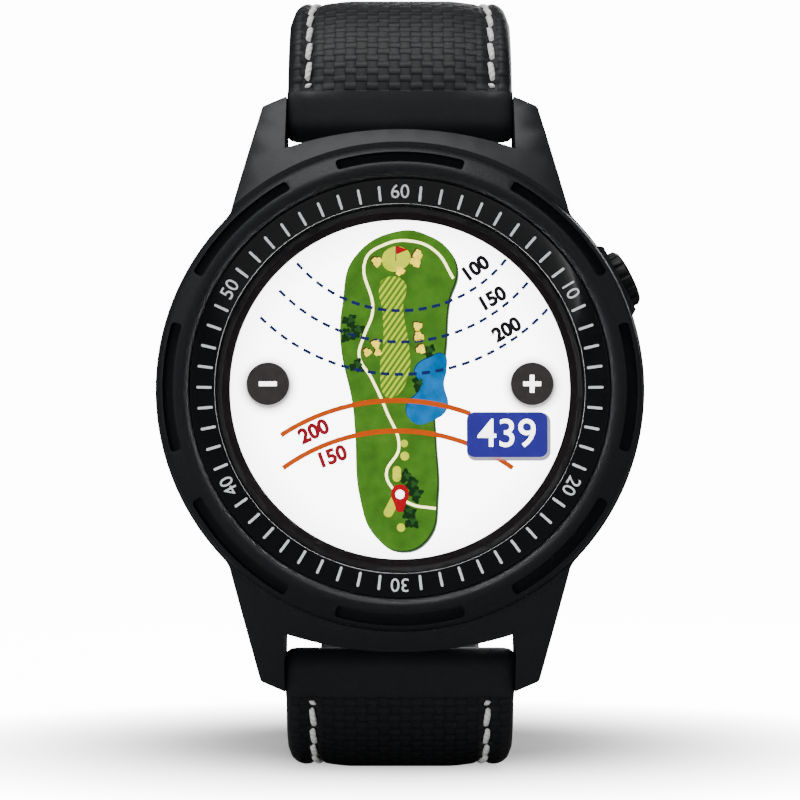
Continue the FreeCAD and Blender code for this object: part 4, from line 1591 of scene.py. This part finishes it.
@dataclass
class StrapHalf:
    """One half of the padded leather strap."""

    side: Side
    width: float = 22.1
    end_width: float = 20.0
    narrow_from: float = 12.0
    narrow_to: float = 23.0
    middle: float = 2.0
    thickness: float = 3.0
    stitch_pitch: float = 2.5
    stitch_length: float = 2.32
    thread_width: float = 0.62
    cell: float = 0.5
    hole_radius: float = 1.15
    hole_turns: tuple[float, float] = (74.5, 9.3)
    hole_count: int = 7
    slot_half: float = 1.7
    slot_reach: float = 4.5

    def __post_init__(self) -> None:
        """Name the half and find its route."""
        self.word = self.side.name.lower()
        self.route = ROUTES[self.side]
        self.body = f"{self.word}_strap"

    @property
    def end(self) -> float:
        """How far the outer face goes, round the buckle's bar on the upper half."""
        turned = BUCKLE_ROLL * math.radians(215) if self.side is Side.UPPER else 0.0
        return self.route.length + turned

    @property
    def start(self) -> float:
        """Where the leather comes back from round the bar."""
        return -BAR_ROLL * math.radians(160)

    def half_width(self, along: float) -> float:
        """Half width of the strap, narrowing with depth and rounded at the tail.

        Args:
            along: Distance along the strap.

        Returns:
            The half width.
        """
        depth = self.route.spot(min(along, self.route.length), 0.0)[0]
        share = min(max((depth - self.narrow_from) / (self.narrow_to - self.narrow_from), 0.0), 1.0)
        half = (self.width + (self.end_width - self.width) * share) / 2
        left = self.route.length - along
        corner = 7.0
        if self.side is Side.LOWER and left < corner:
            half -= corner - math.sqrt(max(corner**2 - (corner - left) ** 2, 0.0))
        return half

    def face_depth(self, x: float, along: float) -> float:
        """How far the outer face lies below its crown.

        Args:
            x: Distance from the middle.
            along: Distance along the strap.

        Returns:
            The depth below the crown.
        """
        half = self.half_width(along)
        edge = half - abs(x)
        root = ease((along - 2.6) / 1.2)
        round_edge = (0.45 + 0.85 * root) * rounding(edge / 1.4)
        finish = 1.0
        if self.side is Side.UPPER:
            finish = 1.0 - ease((along - self.route.length + 5.5) / 2.0)
        else:
            left = self.route.length - along
            round_edge = max(round_edge, 0.9 * rounding(left))
            finish = ease((left - 1.5) / 1.5)
        strength = root * finish
        from_stitch = abs(abs(x) - self.stitch_side(along))
        channel = 0.55 * math.exp(-((from_stitch / 0.5) ** 2))
        to_stitch = self.stitch_side(along) + 0.4 - abs(x)
        shoulder = 0.3 * ease((abs(x) - 4.8) / 3.4) * ease(to_stitch / 0.8)
        lobe = 0.22 * ease((abs(x) - self.stitch_side(along)) / 0.5)
        behind_bar = 0.4 * ease(-along / 2.0)
        return round_edge + behind_bar + strength * (channel + shoulder + lobe)

    def stitch_side(self, along: float) -> float:
        """How far the stitches run from the middle.

        Args:
            along: Distance along the strap.

        Returns:
            The distance.
        """
        inset = 2.05 if self.side is Side.UPPER else 2.6
        return self.half_width(max(along, 0.0)) - inset

    def across(self, share: float, along: float) -> float:
        """Spread the grid's columns so that they crowd near the stitches.

        Args:
            share: Place in the grid from -1 to 1.
            along: Distance along the strap.

        Returns:
            The distance from the middle.
        """
        size = abs(share)
        grown = size / 0.45 * 0.66 if size < 0.45 else 0.66 + (size - 0.45) / 0.55 * 0.34
        return math.copysign(grown, share) * self.half_width(along)

    def holes(self) -> list[float]:
        """Where the adjustment holes lie along the tail.

        Returns:
            Distances along the strap.
        """
        if self.side is Side.UPPER:
            return []
        first, pitch = self.hole_turns
        before = self.route.length - self.route.parts[-1][0]
        turns = [first - pitch * number for number in range(self.hole_count)]
        return [before + TAIL_RADIUS * math.radians(turn) for turn in turns]

    def grid(self, start: float, end: float) -> bmesh.types.BMesh:
        """Flat leather, x across and y along, with its holes and slot cut.

        Args:
            start: First distance along the strap.
            end: Last distance along the strap.

        Returns:
            The flat mesh.
        """
        mesh = bmesh.new()
        rows = round((end - start) / self.cell)
        bmesh.ops.create_grid(mesh, x_segments=44, y_segments=rows, size=0.5)
        for vert in mesh.verts:
            along = start + (vert.co.y + 0.5) * (end - start)
            vert.co = Vector((self.across(vert.co.x * 2.0, along), along, 0.0))
        for hole in self.holes():
            self._punch(mesh, hole)
        if self.side is Side.UPPER:
            self._slot(mesh)
        return mesh

    def _punch(self, mesh: bmesh.types.BMesh, along: float) -> None:
        """Cut one round hole and gather its rim to the circle.

        Args:
            mesh: Flat leather.
            along: Place of the hole.
        """
        centre = Vector((0.0, along, 0.0))
        inside = [face for face in mesh.faces
                  if (face.calc_center_median() - centre).length < self.hole_radius]
        bmesh.ops.delete(mesh, geom=inside, context="FACES")
        for vert in mesh.verts:
            away = vert.co - centre
            if vert.is_boundary and away.length < self.hole_radius * 1.7:
                vert.co = centre + away.normalized() * self.hole_radius

    def _slot(self, mesh: bmesh.types.BMesh) -> None:
        """Cut the slot for the buckle's tang.

        Args:
            mesh: Flat leather.
        """
        low = self.route.length - self.slot_reach
        cut = []
        for face in mesh.faces:
            spot = face.calc_center_median()
            if spot.y > low and abs(spot.x) < self.slot_half:
                cut.append(face)
        bmesh.ops.delete(mesh, geom=cut, context="FACES")
        edge = min(abs(vert.co.x) for vert in mesh.verts if vert.co.y > low + 1.0)
        for vert in mesh.verts:
            if vert.is_boundary and vert.co.y > low - self.cell and abs(abs(vert.co.x) - edge) < 0.01:
                vert.co.x = math.copysign(self.slot_half, vert.co.x)

    def layer(self, name: str, start: float, end: float, top: Callable[[float, float], float],
              bottom: Callable[[float, float], float], finish: Finish, slot: str) -> bpy.types.Object:
        """One layer of the strap between two depth functions.

        Args:
            name: Name of the piece.
            start: First distance along the strap.
            end: Last distance along the strap.
            top: Depth of the outer side at (x, along).
            bottom: Depth of the wrist side at (x, along).
            finish: Its finish.
            slot: Its material slot; not used.

        Returns:
            The finished piece.
        """
        mesh = self.grid(start, end)
        uv = mesh.loops.layers.uv.new("UVMap")
        bmesh.ops.solidify(mesh, geom=mesh.faces[:], thickness=1.0)
        levels = [vert.co.z for vert in mesh.verts]
        middle = (min(levels) + max(levels)) / 2
        for face in mesh.faces:
            for loop in face.loops:
                x, along = loop.vert.co.xy
                loop[uv].uv = (x / self.half_width(along) * self.width / 2, along)
        for vert in mesh.verts:
            x, along, outer = vert.co.x, vert.co.y, vert.co.z > middle
            vert.co = self.route.place(x, along, (top if outer else bottom)(x, along))
        bmesh.ops.recalc_face_normals(mesh, faces=mesh.faces)
        piece = new_piece(name, mesh, finish.material(), self.body)
        keep_corners(piece, 50.0)
        return piece

    def build_leather(self) -> None:
        """Outer leather with its padding, and the lining behind it."""
        length = self.route.length

        def leather_back(x: float, along: float) -> float:
            from_root = ease(along / 2.5)
            from_end = ease((length - 3.0 - along) / 2.5) if self.side is Side.UPPER else 1.0
            thin = 1.12
            return thin + (self.middle - thin) * min(from_root, from_end)

        outer = self.layer(f"{self.word}_leather", self.start, self.end, self.face_depth, leather_back,
                           Finish.STRAP, "strap_leather")
        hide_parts(f"{self.word}_strap_outer", f"{self.word}_strap_padding")

        def lining_top(x: float, along: float) -> float:
            return self.middle + 0.01

        def lining_back(x: float, along: float) -> float:
            edge = min(self.half_width(along) - abs(x), 0.8) / 0.8
            last = length - (1.2 if self.side is Side.UPPER else 0.0)
            tip = min(max(last - along, 0.0), 0.8) / 0.8
            near = min(edge, tip)
            return self.thickness - 0.5 * rounding(near)

        last = length - (2.5 if self.side is Side.UPPER else 0.0)
        lining = self.layer(f"{self.word}_lining", 1.9, last, lining_top, lining_back, Finish.LINING,
                            "strap_lining")
        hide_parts(f"{self.word}_strap_lining")

    def build_stitches(self) -> None:
        """Two rows of separate twisted stitches with a small first one."""
        mesh = bmesh.new()
        uv = mesh.loops.layers.uv.new("UVMap")
        length = self.route.length
        first = 4.2
        last = length - (6.0 if self.side is Side.UPPER else 4.5)
        count = int((last - first) / self.stitch_pitch)
        for number in range(-1, count):
            long = self.stitch_length if number >= 0 else 0.55
            middle = first + self.stitch_pitch * (number + 0.5)
            if number < 0:
                middle = first - 0.45
            for sign in (-1, 1):
                self._stitch(mesh, uv, sign, middle, long)
        bmesh.ops.recalc_face_normals(mesh, faces=mesh.faces)
        piece = new_piece(f"{self.word}_stitches", mesh, Finish.THREAD.material(), self.body)
        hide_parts(f"{self.word}_stitching")

    def _stitch(self, mesh: bmesh.types.BMesh, uv: bmesh.types.BMLayerItem, sign: int, middle: float,
                long: float) -> None:
        """One stitch that dips into the leather at both ends.

        Args:
            mesh: Mesh that takes the stitch.
            uv: Its flat coordinates.
            sign: Side of the strap, -1 or 1.
            middle: Middle of the stitch along the strap.
            long: Length of the stitch.
        """
        rings = 9 if long > 1.0 else 5
        made = bmesh.ops.create_uvsphere(mesh, u_segments=7, v_segments=rings, radius=0.5)
        around = {vert: (math.atan2(vert.co.y, vert.co.x), vert.co.z) for vert in made["verts"]}
        for face in {face for vert in around for face in vert.link_faces}:
            wraps = max(around[vert][0] for vert in face.verts) > 2.0
            for loop in face.loops:
                turn, share = around[loop.vert]
                whole = 2 * math.pi if wraps and turn < 0.0 else 0.0
                loop[uv].uv = ((turn + whole) / math.pi, share * long)
        for vert, (turn, share) in around.items():
            near_end = 1.0 - (abs(share) * 2.0) ** 6
            radius = self.thread_width / 2 * math.sqrt(max(near_end, 0.02))
            radius *= 1.0 + 0.06 * math.cos(share * 4 * math.pi + sign * 0.7)
            along = middle + share * long
            x = sign * self.stitch_side(along) + radius * math.cos(turn) - sign * 0.26 * share
            dip = 0.34 * (abs(share) * 2.0) ** 4
            inward = self.face_depth(sign * self.stitch_side(along), along) - 0.2 + dip
            vert.co = self.route.place(x, along, inward - radius * 0.9 * math.sin(turn))


@dataclass
class Keeper:
    """Leather loop that holds the tail."""

    name: str
    body: str
    wall: float = 1.0
    corner: float = 2.0

    def build(self) -> None:
        """Rounded loop with soft edges."""
        low, high = (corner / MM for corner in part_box(self.name))
        half_x, half_y = (high[0] - low[0]) / 2, (high[1] - low[1]) / 2
        centre = Vector(((high[0] + low[0]) / 2, (high[1] + low[1]) / 2, (high[2] + low[2]) / 2))
        length = high[2] - low[2]
        mesh = bmesh.new()
        uv = mesh.loops.layers.uv.new("UVMap")
        straight = (2 * (half_x - self.corner), 2 * (half_y - self.corner))
        total = 2 * sum(straight) + 2 * math.pi * self.corner
        steps, rows = 220, 12
        bmesh.ops.create_grid(mesh, x_segments=steps, y_segments=rows, size=0.5)
        bmesh.ops.solidify(mesh, geom=mesh.faces[:], thickness=1.0)
        levels = [vert.co.z for vert in mesh.verts]
        middle = (min(levels) + max(levels)) / 2
        for face in mesh.faces:
            for loop in face.loops:
                loop[uv].uv = (loop.vert.co.y * length, (loop.vert.co.x + 0.5) * total)
        for vert in mesh.verts:
            share, row, outer = vert.co.x + 0.5, vert.co.y * 2.0, vert.co.z > middle
            swell = 0.32 * (1.0 - math.sqrt(max(1.0 - abs(row) ** 5, 0.0)))
            inward = swell if outer else self.wall - 0.5 * swell
            spot = self._round(share * total, straight, inward)
            vert.co = (centre + Vector((spot[0], spot[1], row * length / 2))) * MM
        bmesh.ops.remove_doubles(mesh, verts=mesh.verts, dist=2e-6)
        inner = [face for face in mesh.faces if all(edge.is_manifold is False for edge in face.edges)]
        bmesh.ops.delete(mesh, geom=inner, context="FACES")
        bmesh.ops.recalc_face_normals(mesh, faces=mesh.faces)
        piece = new_piece(f"{self.name}_loop", mesh, Finish.KEEPER.material(), self.body)
        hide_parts(self.name)
        keep_corners(piece, 50.0)

    def _round(self, along: float, straight: Point, inward: float) -> Point:
        """Point round the loop, starting at the middle of its wrist side.

        Args:
            along: Distance round the loop.
            straight: Lengths of its two straights.
            inward: Distance from its outer face.

        Returns:
            Place across and deep.
        """
        wide, tall = straight
        turn, quarter = self.corner, math.pi * self.corner / 2
        x, y, heading = 0.0, tall / 2 + turn, 0.0
        runs = [(wide / 2, 0), (quarter, 1), (tall, 0), (quarter, 1), (wide, 0), (quarter, 1), (tall, 0),
                (quarter, 1), (wide / 2, 0)]
        left = along
        for length, bends in runs:
            step = min(left, length)
            if bends:
                after = heading - step / turn
                x += turn * (math.sin(heading) - math.sin(after))
                y += turn * (math.cos(after) - math.cos(heading))
                heading = after
            else:
                x += step * math.cos(heading)
                y += step * math.sin(heading)
            left -= step
            if left <= 1e-9:
                break
        return x + inward * math.sin(heading), y - inward * math.cos(heading)


# ---------------------------------------------------------------- studio


@dataclass
class Studio:
    """Pale sweep, soft lights and the camera."""

    view_distance: float = 195.0
    view_drop: float = 1.07
    eye_drop: float = 15.0
    lens_shift: float = 0.06
    view_width: float = 76.05
    sensor: float = 36.0
    white: float = 14.0

    def build(self) -> None:
        """Set up everything round the watch."""
        self._sweep()
        self._light("top_soft", (-40.0, -130.0, 330.0), (300.0, 200.0), 1.0)
        self._light("low_fill", (-60.0, -320.0, 10.0), (160.0, 60.0), 0.9, False)
        self._light("left_soft", (-330.0, -150.0, 120.0), (200.0, 260.0), 0.16)
        self._light("right_soft", (330.0, -120.0, 90.0), (160.0, 260.0), 0.08)
        self._light("back_soft", (120.0, 330.0, 220.0), (260.0, 200.0), 1.2)
        self._world()
        self._camera()

    def _aim(self, thing: bpy.types.Object, place: Vector, target: Vector) -> None:
        """Put a thing at a place and point it at a target.

        Args:
            thing: Lamp or camera.
            place: Where it stands.
            target: What it points at.
        """
        turn = (target - place).to_track_quat("-Z", "Y").to_matrix().to_4x4()
        thing.matrix_world = Matrix.Translation(place) @ turn

    def _light(self, name: str, place: tuple[float, float, float], size: Point, power: float,
               glossy: bool = True) -> None:
        """Rectangular soft light aimed at the dial, mirrored in gloss or not.

        Args:
            name: Name of the lamp.
            place: Where it stands, in millimetres.
            size: Its width and height.
            power: Its power in watts.
            glossy: Whether gloss mirrors it.
        """
        data = bpy.data.lights.new(name, "AREA")
        data.shape = "RECTANGLE"
        data.size, data.size_y = size[0] * MM, size[1] * MM
        data.energy = power
        lamp = bpy.data.objects.new(name, data)
        lamp.visible_glossy = glossy
        lamp.visible_camera = False
        bpy.context.collection.objects.link(lamp)
        self._aim(lamp, Vector(place) * MM, PLACE.at(0.0, 0.0, 0.0))

    def _world(self) -> None:
        """Even pale surroundings."""
        world = bpy.data.worlds.new("studio")
        world.use_nodes = True
        tree = world.node_tree
        dim = tree.nodes["Background"]
        dim.inputs["Color"].default_value = (0.9, 0.95, 1.0, 1.0)
        dim.inputs["Strength"].default_value = 0.06
        bright = tree.nodes.new("ShaderNodeBackground")
        bright.inputs["Strength"].default_value = self.white
        mix = tree.nodes.new("ShaderNodeMixShader")
        tree.links.new(tree.nodes.new("ShaderNodeLightPath").outputs["Is Camera Ray"], mix.inputs[0])
        tree.links.new(dim.outputs[0], mix.inputs[1])
        tree.links.new(bright.outputs[0], mix.inputs[2])
        tree.links.new(mix.outputs[0], tree.nodes["World Output"].inputs["Surface"])
        bpy.context.scene.world = world

    def _sweep(self) -> None:
        """Pale floor that curves up into a wall far behind."""
        mesh = bmesh.new()
        wide, near, far, tall, bend = 4.0, -2.0, 1.4, 2.2, 0.7
        spots = [(near, 0.0), (far, 0.0)]
        spots += [(far + bend * math.sin(math.radians(a)), bend - bend * math.cos(math.radians(a)))
                  for a in range(9, 91, 9)]
        spots.append((far + bend, tall))
        verts = [mesh.verts.new((-wide / 2, y, z)) for y, z in spots]
        edges = [mesh.edges.new(pair) for pair in zip(verts, verts[1:])]
        grown = bmesh.ops.extrude_edge_only(mesh, edges=edges)["geom"]
        moved = [item for item in grown if isinstance(item, bmesh.types.BMVert)]
        bmesh.ops.translate(mesh, verts=moved, vec=(wide, 0, 0))
        bmesh.ops.recalc_face_normals(mesh, faces=mesh.faces)
        data = bpy.data.meshes.new("sweep")
        mesh.to_mesh(data)
        mesh.free()
        for face in data.polygons:
            face.use_smooth = True
        data.materials.append(self._white_paper())
        sweep = bpy.data.objects.new("sweep", data)
        bpy.context.collection.objects.link(sweep)

    def _white_paper(self) -> bpy.types.Material:
        """Paper lit from behind, with a painted shadow pool: the glow fades out round where the watch
        stands, so there only the lamps' light and the watch's real shadow show.

        Returns:
            The material.
        """
        graph = Graph("sweep_white")
        spot = graph.add("ShaderNodeTexCoord", output="Object")
        split = graph.add("ShaderNodeSeparateXYZ", {"Vector": spot})
        x, y = split, Wire(graph, split.socket.node.outputs["Y"])
        behind = y - 0.01
        away = (x * x + behind * behind).apply("SQRT")
        # Painted shadow: the paper's glow is nought within 14 mm of the watch's base and full from 64 mm
        # out.
        lit = ((away - 0.014) / 0.05).at_least(0.0).at_most(1.0).apply("POWER", 2.0)
        seen = graph.add("ShaderNodeLightPath", output="Is Camera Ray")
        paper = graph.blend(graph.noise(30.0, 4.0), (0.78, 0.78, 0.78), (0.84, 0.84, 0.84))
        return graph.finish(
            Base_Color=graph.blend(seen, (0.2, 0.2, 0.2), paper),
            Roughness=0.9,
            Emission_Color=(1.0, 1.0, 1.0),
            Emission_Strength=lit * seen * self.white,
        )

    def _camera(self) -> None:
        """Camera straight in front of the dial."""
        data = bpy.data.cameras.new("view")
        data.sensor_width = self.sensor
        data.lens = self.sensor * self.view_distance / self.view_width
        data.clip_start = 0.01
        data.dof.use_dof = False
        camera = bpy.data.objects.new("view", data)
        bpy.context.collection.objects.link(camera)
        eye = PLACE.at(0.0, 3.3 - self.view_distance, -self.eye_drop)
        aim_drop = self.view_drop + self.lens_shift * self.view_width
        self._aim(camera, eye, PLACE.at(0.0, 3.3, -aim_drop))
        data.shift_y = self.lens_shift
        bpy.context.scene.camera = camera


# ---------------------------------------------------------------- everything


def main() -> None:
    """Build the watch's looks and the studio."""
    logging.basicConfig(level=logging.INFO, format="%(message)s")
    case = Case()
    case.dress_cad()
    case.build_bezel()
    case.build_ring()
    case.build_ticks()
    case.build_figures()
    Screen().build()
    for side in Side:
        half = StrapHalf(side)
        half.build_leather()
        half.build_stitches()
    Keeper("fixed_keeper", "upper_strap").build()
    Keeper("free_keeper", "free_loop").build()
    Studio().build()


if __name__ == "__main__":
    main()
